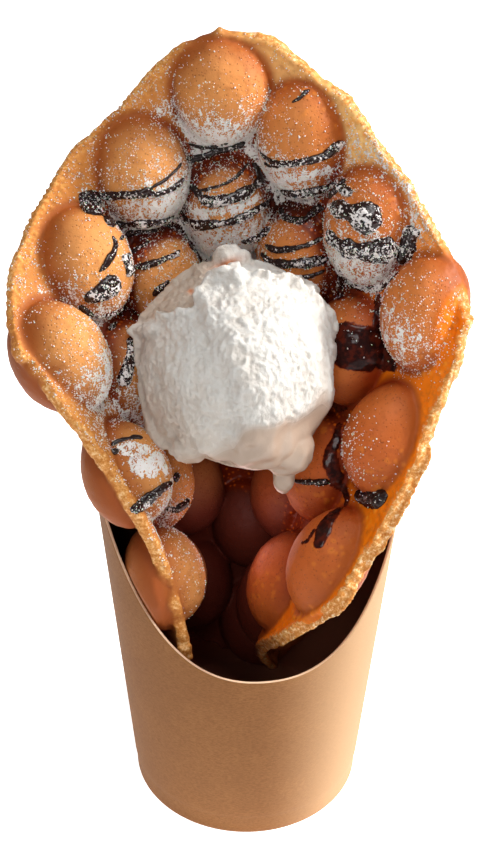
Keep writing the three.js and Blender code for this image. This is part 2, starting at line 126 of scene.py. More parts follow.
# The photograph's camera: it looks down at the middle of the part.
IMAGE_WIDTH, IMAGE_HEIGHT = 485, 863
FOCAL_PIXELS = 1500.0
CAMERA_ELEVATION = 32.77 * DEGREE
CAMERA_ROLL = 0.67 * DEGREE
CAMERA_DISTANCE = 391.3
CAMERA_TARGET = np.array([0.0, 0.0, 114.5])
CENTRE_COLUMN, CENTRE_ROW = 249.33, 431.5
SENSOR = 36.0


# ---- Unevenness ----

def uneven(seed):
    """A repeatable uneven number from -1 to 1."""
    value = math.sin(seed * 127.1 + 311.7) * 43758.5453
    return 2 * (value - math.floor(value)) - 1


def scattered(i, j, k, seed):
    """An uneven number from 0 to 1 for each triple of whole numbers."""
    mixed = (i * 374761393 + j * 668265263 + k * 1274126177 + seed * 974711) & 0xFFFFFFFF
    mixed = ((mixed ^ (mixed >> 13)) * 1103515245) & 0xFFFFFFFF
    mixed = ((mixed ^ (mixed >> 16)) * 69069) & 0xFFFFFFFF
    return ((mixed >> 8) & 0xFFFF) / 0xFFFF


CORNERS = [(i, j, k) for i in (0, 1) for j in (0, 1) for k in (0, 1)]


def noise(points, size, seed=0):
    """Smooth uneven values from -1 to 1, with features about `size` across."""
    scaled = points / size
    cell = np.floor(scaled).astype(np.int64)
    part = scaled - cell
    part = part * part * part * (part * (part * 6 - 15) + 10)
    total = np.zeros(len(points))
    for corner in CORNERS:
        weight = np.prod(np.where(corner, part, 1 - part), axis=1)
        total += weight * scattered(*(cell + corner).T, seed)
    return 2 * total - 1


def rough(points, size, octaves, seed=0, keep=0.5):
    """Noise with finer and fainter noise on it."""
    total, strength = 0, 1
    for octave in range(octaves):
        total = total + strength * noise(points, size / 2 ** octave, seed + octave)
        strength *= keep
    return total


def grains(points, size, seed=0):
    """Distance to the nearest of scattered spots, one per cell of `size`, in cells."""
    scaled = points / size
    cell = np.floor(scaled).astype(np.int64)
    nearest = np.full(len(points), 9.0)
    for i in (-1, 0, 1):
        for j in (-1, 0, 1):
            for k in (-1, 0, 1):
                home = cell + (i, j, k)
                spot = home + np.stack([scattered(*home.T, seed + n) for n in range(3)], axis=1)
                nearest = np.minimum(nearest, np.linalg.norm(spot - scaled, axis=1))
    return nearest


def ramp(value, low, high):
    """0 below `low`, 1 above `high`, eased between."""
    share = np.clip((value - low) / (high - low), 0, 1)
    return share * share * (3 - 2 * share)


# ---- Shells ----

class Shell:
    """Points and faces of one size, on their way to becoming a mesh."""

    def __init__(self, points, faces):
        self.points = np.asarray(points, float)
        self.faces = np.asarray(faces, np.int64)
        self.marks = {}

    @staticmethod
    def joined(shells):
        start, points, faces = 0, [], []
        for shell in shells:
            points.append(shell.points)
            faces.append(shell.faces + start)
            start += len(shell.points)
        return Shell(np.vstack(points), np.vstack(faces))

    def normals(self):
        corners = self.points[self.faces]
        if self.faces.shape[1] == 4:
            face = np.cross(corners[:, 2] - corners[:, 0], corners[:, 3] - corners[:, 1])
        else:
            face = np.cross(corners[:, 1] - corners[:, 0], corners[:, 2] - corners[:, 0])
        total = self.gathered(self.faces.ravel(), np.repeat(face, self.faces.shape[1], axis=0))
        return total / np.maximum(np.linalg.norm(total, axis=1, keepdims=True), 1e-12)

    def gathered(self, index, values):
        count = len(self.points)
        return np.stack([np.bincount(index, v, minlength=count) for v in values.T], axis=1)

    def smoothed(self, rounds, pull=0.5, push=-0.52):
        """Evened out without shrinking: every pull inwards is followed by a push outwards."""
        side = self.faces.shape[1]
        ends = np.vstack([self.faces[:, [k, (k + 1) % side]] for k in range(side)])
        start, stop = ends.T
        count = np.bincount(start, minlength=len(self.points))[:, None]
        for _ in range(rounds):
            for share in (pull, push):
                mean = self.gathered(start, self.points[stop]) / np.maximum(count, 1)
                self.points = self.points + share * (mean - self.points)
        return self

    def swollen(self, amount):
        self.points = self.points + self.normals() * np.asarray(amount)[:, None]
        return self

    def to_mesh(self, name):
        mesh = bpy.data.meshes.new(name)
        side = self.faces.shape[1]
        mesh.vertices.add(len(self.points))
        mesh.vertices.foreach_set("co", ((self.points + CUP_AXIS) * MM).ravel())
        mesh.loops.add(self.faces.size)
        mesh.loops.foreach_set("vertex_index", self.faces.ravel().astype(np.int32))
        mesh.polygons.add(len(self.faces))
        mesh.polygons.foreach_set("loop_start", np.arange(0, self.faces.size, side, dtype=np.int32))
        mesh.update(calc_edges=True)
        return mesh

    def to_object(self, name, smooth=True):
        mesh = self.to_mesh(name)
        for mark, values in self.marks.items():
            mesh.attributes.new(mark, "FLOAT", "POINT").data.foreach_set("value", values)
        if smooth:
            mesh.shade_smooth()
        made = bpy.data.objects.new(name, mesh)
        bpy.context.collection.objects.link(made)
        return made

    def tree(self):
        return BVHTree.FromPolygons(self.points.tolist(), self.faces.tolist())


def fused(shells, voxel):
    """One closed shell round all of the given ones."""
    made = Shell.joined(shells).to_object("fusing")
    remesh = made.modifiers.new("fuse", "REMESH")
    remesh.mode = "VOXEL"
    remesh.voxel_size = voxel * MM
    shape = made.evaluated_get(bpy.context.evaluated_depsgraph_get()).to_mesh()
    points = np.empty(len(shape.vertices) * 3)
    shape.vertices.foreach_get("co", points)
    corners = np.empty(len(shape.loops), np.int32)
    shape.loops.foreach_get("vertex_index", corners)
    mesh = made.data
    bpy.data.objects.remove(made)
    bpy.data.meshes.remove(mesh)
    return Shell(points.reshape(-1, 3) / MM - CUP_AXIS, corners.reshape(-1, 4))


def finder_of(points):
    finder = KDTree(len(points))
    for i, point in enumerate(points.tolist()):
        finder.insert(point, i)
    finder.balance()
    return finder


def grid_faces(rows, columns, start=0, wrap=False, flipped=False):
    """Four-sided faces between neighbours in a grid of points."""
    i, j = np.meshgrid(np.arange(rows - 1), np.arange(columns if wrap else columns - 1), indexing="ij")
    follow = (j + 1) % columns
    corners = [i * columns + j, i * columns + follow, (i + 1) * columns + follow, (i + 1) * columns + j]
    if flipped:
        corners.reverse()
    return start + np.stack([c.ravel() for c in corners], axis=1)


def ball(frame_axes, centre, around=72, rings=48):
    """A stretched ball on the three half-axes given, its poles on the last."""
    side = np.linspace(0, 2 * np.pi, around, endpoint=False)
    down = (np.arange(rings) + 0.5) / rings * np.pi
    down, side = np.meshgrid(down, side, indexing="ij")
    unit = np.stack([np.sin(down) * np.cos(side), np.sin(down) * np.sin(side), np.cos(down)], -1)
    return capped(unit.reshape(-1, 3) @ np.asarray(frame_axes) + centre, rings, around,
                  np.linalg.det(frame_axes) > 0)


def capped(points, rings, around, flipped):
    """A closed shell of rings of points, its two ends drawn together to points."""
    faces = [grid_faces(rings, around, wrap=True, flipped=flipped)]
    first, last = points[:around].mean(0), points[-around:].mean(0)
    turn = np.arange(around)
    follow = (turn + 1) % around
    count = len(points)
    top = np.stack([turn * 0 + count, turn * 0 + count, follow, turn], 1)
    end = (rings - 1) * around
    bottom = np.stack([turn * 0 + count + 1, turn * 0 + count + 1, end + turn, end + follow], 1)
    caps = np.vstack([top, bottom])
    return Shell(np.vstack([points, first, last]), np.vstack(faces + [caps[:, ::-1] if flipped else caps]))


# ---- The rolled lattice ----

MIDDLE_ROW = ROWS / 2


def roll(column, row):
    """Where the middle of the sheet lies, at columns across and rows down."""
    across = np.asarray(column, float) * COLUMN_PITCH
    up = (MIDDLE_ROW - np.asarray(row, float)) * ROW_PITCH
    cosine, sine = math.cos(LATTICE_TURNED), math.sin(LATTICE_TURNED)
    column = (across * cosine - up * sine) / COLUMN_PITCH
    level = (across * sine + up * cosine) / ROW_PITCH / MIDDLE_ROW
    turn, opened, bend, by = (np.where(column < 0, LEFT[k], RIGHT[k])
                              for k in ("turn", "open", "bend", "by"))
    turn = turn - opened * level + bend * level ** 2
    reach = np.abs(column)
    slices = 24
    step = reach * COLUMN_PITCH * (1 + GATHER * level) / slices
    x, y = 0, 0
    for i in range(slices):
        share = reach * (i + 0.5) / slices / HALF_COLUMNS
        heading = turn * np.sin(np.pi / 2 * np.minimum(1, share / by))
        x = x + np.cos(heading) * step
        y = y - np.sin(heading) * step
    x = np.sign(column) * x + BOW * level ** 2
    y = y + ARCH * level ** 2
    z = ROW_PITCH * MIDDLE_ROW * level * (1 - DROOP * (reach / HALF_COLUMNS) ** 2)
    turned = Matrix.Rotation(LEAN_SIDE, 3, "Y") @ Matrix.Rotation(-LEAN_BACK, 3, "X")
    return np.stack([x, y, z], -1) @ np.array(turned).T + ROLL_PLACE


def unit(vectors):
    return vectors / np.linalg.norm(vectors, axis=-1, keepdims=True)


def sheet_axes(column, row, nudge=0.02):
    """Across, up and out of the inner face, at a place on the sheet."""
    across = unit(roll(column + nudge, row) - roll(column - nudge, row))
    up = roll(column, row - nudge) - roll(column, row + nudge)
    inward = unit(np.cross(across, up))
    return across, np.cross(inward, across), inward


class Bubble:
    """One bubble of the lattice: where it is, how large, and its own directions."""

    def __init__(self, column, row, seed):
        self.column, self.row = column, row
        size = 1 + UNEVENNESS * uneven(seed)
        self.half = np.array([HALF_WIDTH * size,
                              HALF_HEIGHT * (1 + UNEVENNESS * uneven(seed + 40)),
                              DOME * size])
        self.outer = PRESSED.get((column, row), 1)
        self.axes = np.array(sheet_axes(float(column), float(row)))
        stray = STRAYS.get((column, row), (0, 0))
        self.centre = roll(float(column), float(row)) + stray[0] * self.axes[0] + stray[1] * self.axes[1]

    def narrowed(self, local):
        """Shares of the plain ball's size at places given on it."""
        x, y, z = np.moveaxis(local, -1, 0)
        across = np.ones_like(x)
        if self.column == -COLUMNS:
            across = 1 - (1 - TOWARD_LEFT) * (x < 0) * ramp(z, -0.1, 0.3)
        if self.column == COLUMNS:
            across = 1 - (1 - TOWARD_RIGHT) * (x > 0)
        up = 1 - (1 - TOWARD_TOP) * (y > 0) * (self.row == 0)
        return np.stack([across, up, np.where(z < 0, self.outer, 1)], -1)

    def local(self, points):
        """Places in shares of the half-width, half-height and dome."""
        local = (points - self.centre) @ self.axes.T / self.half
        return local / self.narrowed(local)

    def shell(self):
        shape = ball(np.eye(3), np.zeros(3))
        shape.points = shape.points * self.narrowed(shape.points) * self.half @ self.axes + self.centre
        return shape

    def on_dome(self, across, up):
        """Points on the inner dome, and straight out of it."""
        reach = np.hypot(across, up)
        pull = np.where(reach > 0.97, 0.97 / np.maximum(reach, 1e-9), 1)
        flat = np.stack([across * pull, up * pull], -1)
        height = np.sqrt(1 - (flat ** 2).sum(-1, keepdims=True))
        local = np.concatenate([flat, height], -1)
        size = self.narrowed(local) * self.half
        return local * size @ self.axes + self.centre, unit(local / size @ self.axes)


def lattice():
    made = {}
    for column in range(-COLUMNS, COLUMNS + 1):
        first = abs(column) / 2
        for step in range(ROWS - abs(column) + 1):
            made[column, first + step] = Bubble(column, first + step, len(made) + 1)
    return made


BUBBLES = lattice()


# ---- The photograph's camera ----

def camera_axes():
    """Right, up and forwards of the camera."""
    forward = np.array([0, math.cos(CAMERA_ELEVATION), -math.sin(CAMERA_ELEVATION)])
    right, up = np.array([1.0, 0, 0]), np.array([0, math.sin(CAMERA_ELEVATION), math.cos(CAMERA_ELEVATION)])
    cosine, sine = math.cos(CAMERA_ROLL), math.sin(CAMERA_ROLL)
    return right * cosine + up * sine, up * cosine - right * sine, forward


CAMERA_RIGHT, CAMERA_UP, CAMERA_FORWARD = camera_axes()
CAMERA_PLACE = CAMERA_TARGET - CAMERA_FORWARD * CAMERA_DISTANCE


def sight_line(pixel_x, pixel_y):
    """The direction in which the camera sees a pixel of the photograph."""
    return unit(CAMERA_FORWARD + CAMERA_RIGHT * (pixel_x - CENTRE_COLUMN) / FOCAL_PIXELS
                + CAMERA_UP * (CENTRE_ROW - pixel_y) / FOCAL_PIXELS)


def add_camera():
    data = bpy.data.cameras.new("camera")
    data.sensor_width = SENSOR
    data.lens = FOCAL_PIXELS * SENSOR / IMAGE_HEIGHT
    data.shift_x = -(CENTRE_COLUMN - IMAGE_WIDTH / 2) / IMAGE_HEIGHT
    data.shift_y = (CENTRE_ROW - IMAGE_HEIGHT / 2) / IMAGE_HEIGHT
    data.clip_start = 0.01
    camera = bpy.data.objects.new("camera", data)
    turned = Matrix((CAMERA_RIGHT, CAMERA_UP, -CAMERA_FORWARD)).transposed().to_4x4()
    camera.matrix_world = Matrix.Translation(Vector((CAMERA_PLACE + CUP_AXIS) * MM)) @ turned
    bpy.context.collection.objects.link(camera)
    bpy.context.scene.camera = camera


add_camera()


# ---- Paper cup ----

def wall_radius(height):
    return CUP["foot_radius"] + math.tan(CUP["taper"]) * height


def rim_height(azimuth):
    """Height of the scooped rim, at an azimuth from the front, + towards +X."""
    turned = np.abs(np.arctan2(np.sin(azimuth - CUP["lowest"]), np.cos(azimuth - CUP["lowest"])))
    share = np.minimum(1, turned / CUP["span"]) ** CUP["power"]
    return CUP["front"] + (CUP["back"] - CUP["front"]) * np.sin(np.pi / 2 * share) ** 2


def turned_point(azimuth, radius, height):
    return np.stack(np.broadcast_arrays(radius * np.sin(azimuth), -radius * np.cos(azimuth), height), -1)


def cup_shell():
    """Wall, folded foot and base disc, with the board's cut edge rounded over."""
    around = 256
    azimuth = np.linspace(0, 2 * np.pi, around, endpoint=False)
    rim = rim_height(azimuth)
    wall, foot = CUP["wall"], CUP["foot"]
    disc_top = CUP["skirt"] + CUP["disc"]
    soft = 0.18                                   # how far the board's edges are rounded over

    def ring(inset, height):
        """At a height, and this far in from the wall's outer face."""
        return turned_point(azimuth, wall_radius(height) - inset, height)

    rings = [turned_point(azimuth, 0.02, CUP["skirt"])]
    rings += [turned_point(azimuth, (CUP["foot_radius"] - foot) * share, CUP["skirt"])
              for share in (0.5, 1)]
    rings += [ring(foot, 4.0), ring(foot, soft), ring(foot - soft, 0.0), ring(0.5, 0.0), ring(soft, 0.02)]
    rings += [ring(0.02, 0.4)]
    # The foot is pressed a little narrower over the height of its fold.
    for level in (1.5, 3.5, 5.5, 6.4, 6.8, FOLD_END):
        rings.append(ring(0.16 * (1 - ramp(level, 6.2, 7.2)), np.full(around, level)))
    for share in np.linspace(0, 1, 40)[1:]:
        rings.append(ring(0.0, FOLD_END + (rim - FOLD_END - soft) * share))
    rings += [ring(soft * 0.3, rim - soft * 0.3), ring(soft, rim), ring(wall - soft, rim)]
    rings += [ring(wall - soft * 0.3, rim - soft * 0.3), ring(wall, rim - soft)]
    for share in np.linspace(1, 0, 40)[1:]:
        rings.append(ring(wall, disc_top + 0.5 + (rim - disc_top - 0.5 - soft) * share))
    rings += [ring(wall + 0.4, np.full(around, disc_top)), turned_point(azimuth, 15.0, disc_top)]
    rings += [turned_point(azimuth, 0.02, disc_top)]
    points = np.vstack(rings)
    return capped(points, len(rings), around, True)


# ---- Waffle ----

WAFFLE_VOXEL = 0.5
SHEET_GRID = (291, 281, 8)         # points across and down each face, and layers through the edge
PLACES_GRID = (121, 141)           # the coarser grid that lattice places are read from
LEAN_ROOM, LEAN_SLOPE, CLEAR_SLOPE = 7.7, 3, 6   # how the waffle may widen again above the cup's rim


def half_rows(column, way):
    """How far the sheet reaches up (way -1) or down (way 1) from its middle row, at a column."""
    reach = np.abs(column)
    from_side = COLUMNS + SIDE_MARGIN - reach
    rounding = END_CUT * np.exp(-(reach / 0.42) ** 2) + SIDE_CUT * np.exp(-(from_side / 0.5) ** 2)
    run = sum(rows * np.exp(-((column - at) / width) ** 2)
              for edge, at, rows, width in RUNS if edge == way)
    return MIDDLE_ROW + CORNER_MARGIN - reach / 2 - rounding + run


def torn_edge(side, down, layer):
    """How far the edge wanders outwards, at a place round it and a layer of its thickness."""
    place = np.stack([side * 74, down * 90, np.zeros_like(side)], -1)
    flakes = ramp(noise(place, 15, 31), 0.25, 0.4) + 0.6 * ramp(noise(place, 6, 33), 0.3, 0.5)
    lifted = place + (0, 0, 7.3) * np.round(layer * 2)[:, None]
    teeth = 0.3 * rough(lifted, 4.5, 3, 17) + 0.32 * rough(lifted, 1.7, 2, 19)
    teeth = teeth * (0.8 + 0.7 * noise(place, 13, 37))
    # On the right the thin outer crust runs out further than the crumb.
    right = ramp(side, 0.3, 0.8) * ramp(noise(place, 17, 35), -0.25, 0.1) * ramp(-layer, 0.3, 0.7)
    return 0.5 * rough(place, 8, 3, 11) - 0.75 * flakes + teeth - 0.5 * np.abs(layer) ** 3 + 1.7 * right


def sheet_grid(across, down, layer):
    """Points on one layer of the sheet, -1 its outer face and +1 its inner, and their lattice places."""
    side, level = np.meshgrid(np.linspace(-1, 1, across), np.linspace(-1, 1, down))
    side, level = side.ravel(), level.ravel()
    rim = np.maximum(np.abs(side), np.abs(level))
    wander = torn_edge(side / np.maximum(rim, 0.1), level / np.maximum(rim, 0.1),
                       np.full(len(side), layer)) * rim ** 10
    column = side * (COLUMNS + SIDE_MARGIN + wander / COLUMN_PITCH)
    half = np.where(level < 0, half_rows(column, -1), half_rows(column, 1))
    row = MIDDLE_ROW + level * (half + wander / ROW_PITCH)
    inward = sheet_axes(column, row)[2]
    lift = layer * SHEET_THICKNESS / 2 + EDGE_CURL * ramp(-column, 2.8, 3.5) * ramp(row, 0.8, 2)
    return roll(column, row) + inward * lift[:, None], column, row


def sheet_shell():
    """The closed slab between the bubbles, its edge torn differently in each layer."""
    across, down, layers = SHEET_GRID
    border = np.concatenate([np.arange(across), np.arange(1, down) * across + across - 1,
                             (down - 1) * across + np.arange(across - 2, -1, -1),
                             np.arange(down - 2, 0, -1) * across])
    inner, outer = (sheet_grid(across, down, layer)[0] for layer in (1, -1))
    count = across * down
    points, loops = [inner, outer], [border]
    for k in range(1, layers):
        points.append(sheet_grid(across, down, 1 - 2 * k / layers)[0][border])
        loops.append(2 * count + (k - 1) * len(border) + np.arange(len(border)))
    loops.append(border + count)
    faces = [grid_faces(down, across, flipped=True), grid_faces(down, across, start=count)]
    for upper, lower in zip(loops, loops[1:]):
        faces.append(np.stack([upper, np.roll(upper, -1), np.roll(lower, -1), lower], 1))
    return Shell(np.vstack(points), np.vstack(faces))


def inside_cup(points):
    """The same points, pressed in where they would pass through the cup's wall or lean on its rim."""
    azimuth = np.arctan2(points[:, 0], -points[:, 1])
    radius = np.hypot(points[:, 0], points[:, 1])
    rim = rim_height(azimuth)
    over = points[:, 2] - rim - CUP_GAP
    limit = wall_radius(np.minimum(points[:, 2], rim)) - CUP["wall"] - CUP_GAP
    limit += LEAN_SLOPE * np.clip(over / LEAN_ROOM, 0, 1) + CLEAR_SLOPE * np.maximum(over - LEAN_ROOM, 0)
    share = np.minimum(1, limit / radius)
    pressed = points.copy()
    pressed[:, :2] *= share[:, None]
    return pressed


def sheet_places(points):
    """For each point: its column and row, how far it is from the torn edge, and its layer."""
    samples, column, row = sheet_grid(*PLACES_GRID, 0)
    inward = sheet_axes(column, row)[2]
    flat = np.stack([column * COLUMN_PITCH, row * ROW_PITCH], 1)
    side, level = np.meshgrid(*(np.linspace(-1, 1, count) for count in PLACES_GRID))
    rim = flat[np.maximum(np.abs(side), np.abs(level)).ravel() == 1]
    to_edge = np.sqrt(((flat[:, None] - rim[None]) ** 2).sum(-1)).min(1)
    finder = finder_of(samples)
    nearest = np.array([finder.find(point)[1] for point in points.tolist()])
    layer = ((points - samples[nearest]) * inward[nearest]).sum(1)
    return column[nearest], row[nearest], to_edge[nearest], layer


def waffle_shell():
    """Sheet and bubbles fused to one shell, with its relief, marked for its finish."""
    parts = [sheet_shell()]
    parts += [bubble.shell() for bubble in BUBBLES.values()]
    shell = fused(parts, WAFFLE_VOXEL).smoothed(4)
    points = shell.points
    # How far out on a bubble: 0 where the bubble meets the sheet, 1 at the top of its dome.
    crown = np.zeros(len(points))
    nearest = np.full(len(points), 9.0)
    drop = np.zeros(len(points))
    outside = np.zeros(len(points))
    for bubble in BUBBLES.values():
        local = bubble.local(points)
        reach = np.linalg.norm(local, axis=1)
        mine = reach < nearest
        nearest = np.minimum(nearest, reach)
        crown[mine] = np.abs(local[mine, 2])
        drop[mine] = local[mine, 1]
        # The outer side of the right column's top bubble counts as sheet, so it takes the sheet's colour with
        # its painted glow.
        outside[mine] = ramp(local[mine, 0], 0.7, 0.9) * (bubble.column == COLUMNS and bubble.row < 2)
    on_bubble = (1 - ramp(nearest, 1.02, 1.2)) * (1 - outside)
    column, row, to_edge, layer = sheet_places(points)
    flat = 1 - on_bubble
    border = (1 - ramp(to_edge, 1.5, 5.0)) * flat
    right = ramp(column, -1.0, 1.5)
    # Shallow dents, wrinkles, blisters where the batter boiled, and ridges along the border.
    blisters = np.clip(0.46 - grains(points, 2.3, 5), 0, 1)
    blisters = blisters + 0.5 * np.clip(0.5 - grains(points, 1.3, 8), 0, 1)
    boiled = right * (0.25 + 0.75 * ramp(noise(points, 11, 21), -0.3, 0.2))
    ridges = np.sin(to_edge * 2.6 + 1.6 * noise(points, 7, 41)) * border
    relief = (0.20 * rough(points, 9, 2, 1) + 0.07 * rough(points, 1.6, 2, 7)
              + 0.85 * blisters * boiled * (1 - 0.85 * on_bubble * ramp(crown, 0.2, 0.6))
              + 0.24 * ridges + 0.16 * border * rough(points, 1.5, 2, 9))
    shell.swollen(relief)
    shell.points = inside_cup(shell.points)
    shell.marks = dict(crown=crown * on_bubble, bubble=on_bubble, drop=drop, column=column, row=row,
                       border=border, to_edge=to_edge + 9 * on_bubble, layer=layer, boiled=blisters * boiled,
                       rim=1 - ramp(to_edge, 5.0, 15.0))
    return shell


# ---- Ice cream ----

# The torn ridge over the front of the scoop, as the camera sees it: across and up from its middle,
# in radii. Behind it the scoop lies lower.
RIDGE = [(-1.0, 0.26), (-0.93, 0.32), (-0.80, 0.38), (-0.62, 0.44), (-0.46, 0.49), (-0.42, 0.55),
         (-0.36, 0.70), (-0.22, 0.78), (-0.05, 0.80), (0.30, 0.80), (0.66, 0.76), (0.85, 0.55), (1.0, 0.30)]
# The soft step down the front: its left side lies lower.
FOLD = [(-0.40, 0.60), (-0.22, 0.25), (-0.05, -0.10), (0.02, -0.60), (0.0, -1.0)]
SCOOP_GRID, SCOOP_VOXEL = (300, 220), 0.36
BEHIND_RIDGE, LEFT_OF_FOLD = 4.4, 2.0          # how much lower the scoop lies there
# A brown streak on the tuft, and a small hollow beside the ridge.
STAIN_STREAK = dict(at=(-0.08, 0.9), reach=(0.14, 0.05), slope=0.35, through=-0.1)
STAIN_HOLLOW = dict(at=(-0.43, 0.62), reach=(0.035, 0.03))


def torn(points, size, seed):
    """Sharp-crested unevenness, 0 in the hollows and 1 on the crests, as torn ice cream has."""
    bent = points + 0.35 * size * np.stack([noise(points, size, seed + n) for n in (1, 2, 3)], 1)
    return 1 - np.abs(noise(bent, size, seed))


def stain(u, v, at, reach, slope=0, through=0):
    """A soft spot round a place on the scoop, tilted along a line that crosses its level at `through`."""
    level = at[1] + slope * (u - through)
    return np.exp(-((v - level) / reach[1]) ** 2 - ((u - at[0]) / reach[0]) ** 2)


def scoop_shell():
    """The scoop with its torn ridge, fold, lumps and wrinkles, marked for its finish."""
    shape = ball(np.eye(3), np.zeros(3), *SCOOP_GRID)
    way = unit(shape.points)
    u, v = way @ CAMERA_RIGHT, way @ CAMERA_UP
    toward = -(way @ CAMERA_FORWARD)
    place = way * SCOOP_RADIUS
    latitude = np.arcsin(np.clip(way[:, 2], -1, 1))
    wave = (np.sin(7.1 * way[:, 0] + 3 * way[:, 2]) * np.cos(6.3 * way[:, 1] - 1.2)
            + 0.7 * np.sin(11.7 * way[:, 2] + 8.9 * way[:, 0] * way[:, 1] + 0.8))
    ragged = SCOOP_COLLAR * (1 + 0.9 * noise(place, 4, 61)) * np.exp(-((latitude - COLLAR_AT) / 0.3) ** 2)
    ridge_u, ridge_v = np.array(RIDGE).T
    past_ridge = v - np.interp(u, ridge_u, ridge_v) + 0.07 * rough(place, 5, 3, 62)
    behind = ramp(past_ridge, -0.01, 0.03) * ramp(toward, 0.02, 0.4)
    lip = np.exp(-((past_ridge + 0.03) / 0.05) ** 2) * (toward > -0.1)
    fold_u = np.interp(v, *np.array(FOLD)[::-1, ::-1].T)
    left = (1 - ramp(u - fold_u + 0.05 * noise(place, 6, 63), -0.1, 0.06)) * (toward > 0) * (1 - behind)
    relief = (0.45 * wave + ragged - BEHIND_RIDGE * behind - LEFT_OF_FOLD * left
              + (1.6 + 1.6 * noise(place, 3, 64)) * lip + 0.6 * rough(place, 8, 2, 65))
    height = np.where(way[:, 2] > 0, SCOOP_ABOVE, SCOOP_BELOW)
    radii = np.stack([SCOOP_RADIUS + relief, SCOOP_RADIUS + relief, height + relief], 1)
    shape.points = SCOOP_CENTRE + way * radii
    parts = [shape]
    for place, half in SCOOP_LUMPS:
        lump = ball(np.diag(half), np.array(place), 60, 40)
        parts.append(lump.swollen(0.5 * rough(lump.points, 4, 2, 67)))
    shell = fused(parts, SCOOP_VOXEL).smoothed(2)
    way = shell.points - SCOOP_CENTRE
    u, v = way @ CAMERA_RIGHT / SCOOP_RADIUS, way @ CAMERA_UP / SCOOP_RADIUS
    melted = ramp(-v + 0.45 * u + 0.12 * noise(shell.points, 6, 70), 0.75, 0.95)
    streaked = shell.points * (1, 1, 0.6)
    crumbly = 1 - 0.92 * melted
    snow = (0.4 * torn(streaked, 5.5, 71) + 0.45 * torn(streaked, 2.6, 74) + 0.42 * torn(streaked, 1.3, 78)
            + 0.2 * rough(shell.points, 1.0, 2, 82))
    shell.swollen(crumbly * (snow - 0.8))
    turned = unit(way)
    behind = turned @ CAMERA_UP - np.interp(turned @ CAMERA_RIGHT, ridge_u, ridge_v)
    # Painted shade behind the torn ridge, on its left half.
    recess_shade = ramp(behind + 0.04 * noise(shell.points, 2, 72), 0.0, 0.06) * (1 - ramp(u, -0.3, 0.0))
    shell.marks = dict(melted=melted, across=u, up=v, crest=ramp(snow, 0.5, 1.2), recess_shade=recess_shade,
                       stain=np.clip(stain(u, v, **STAIN_STREAK) + stain(u, v, **STAIN_HOLLOW), 0, 1))
    return shell


# ---- Chocolate ----

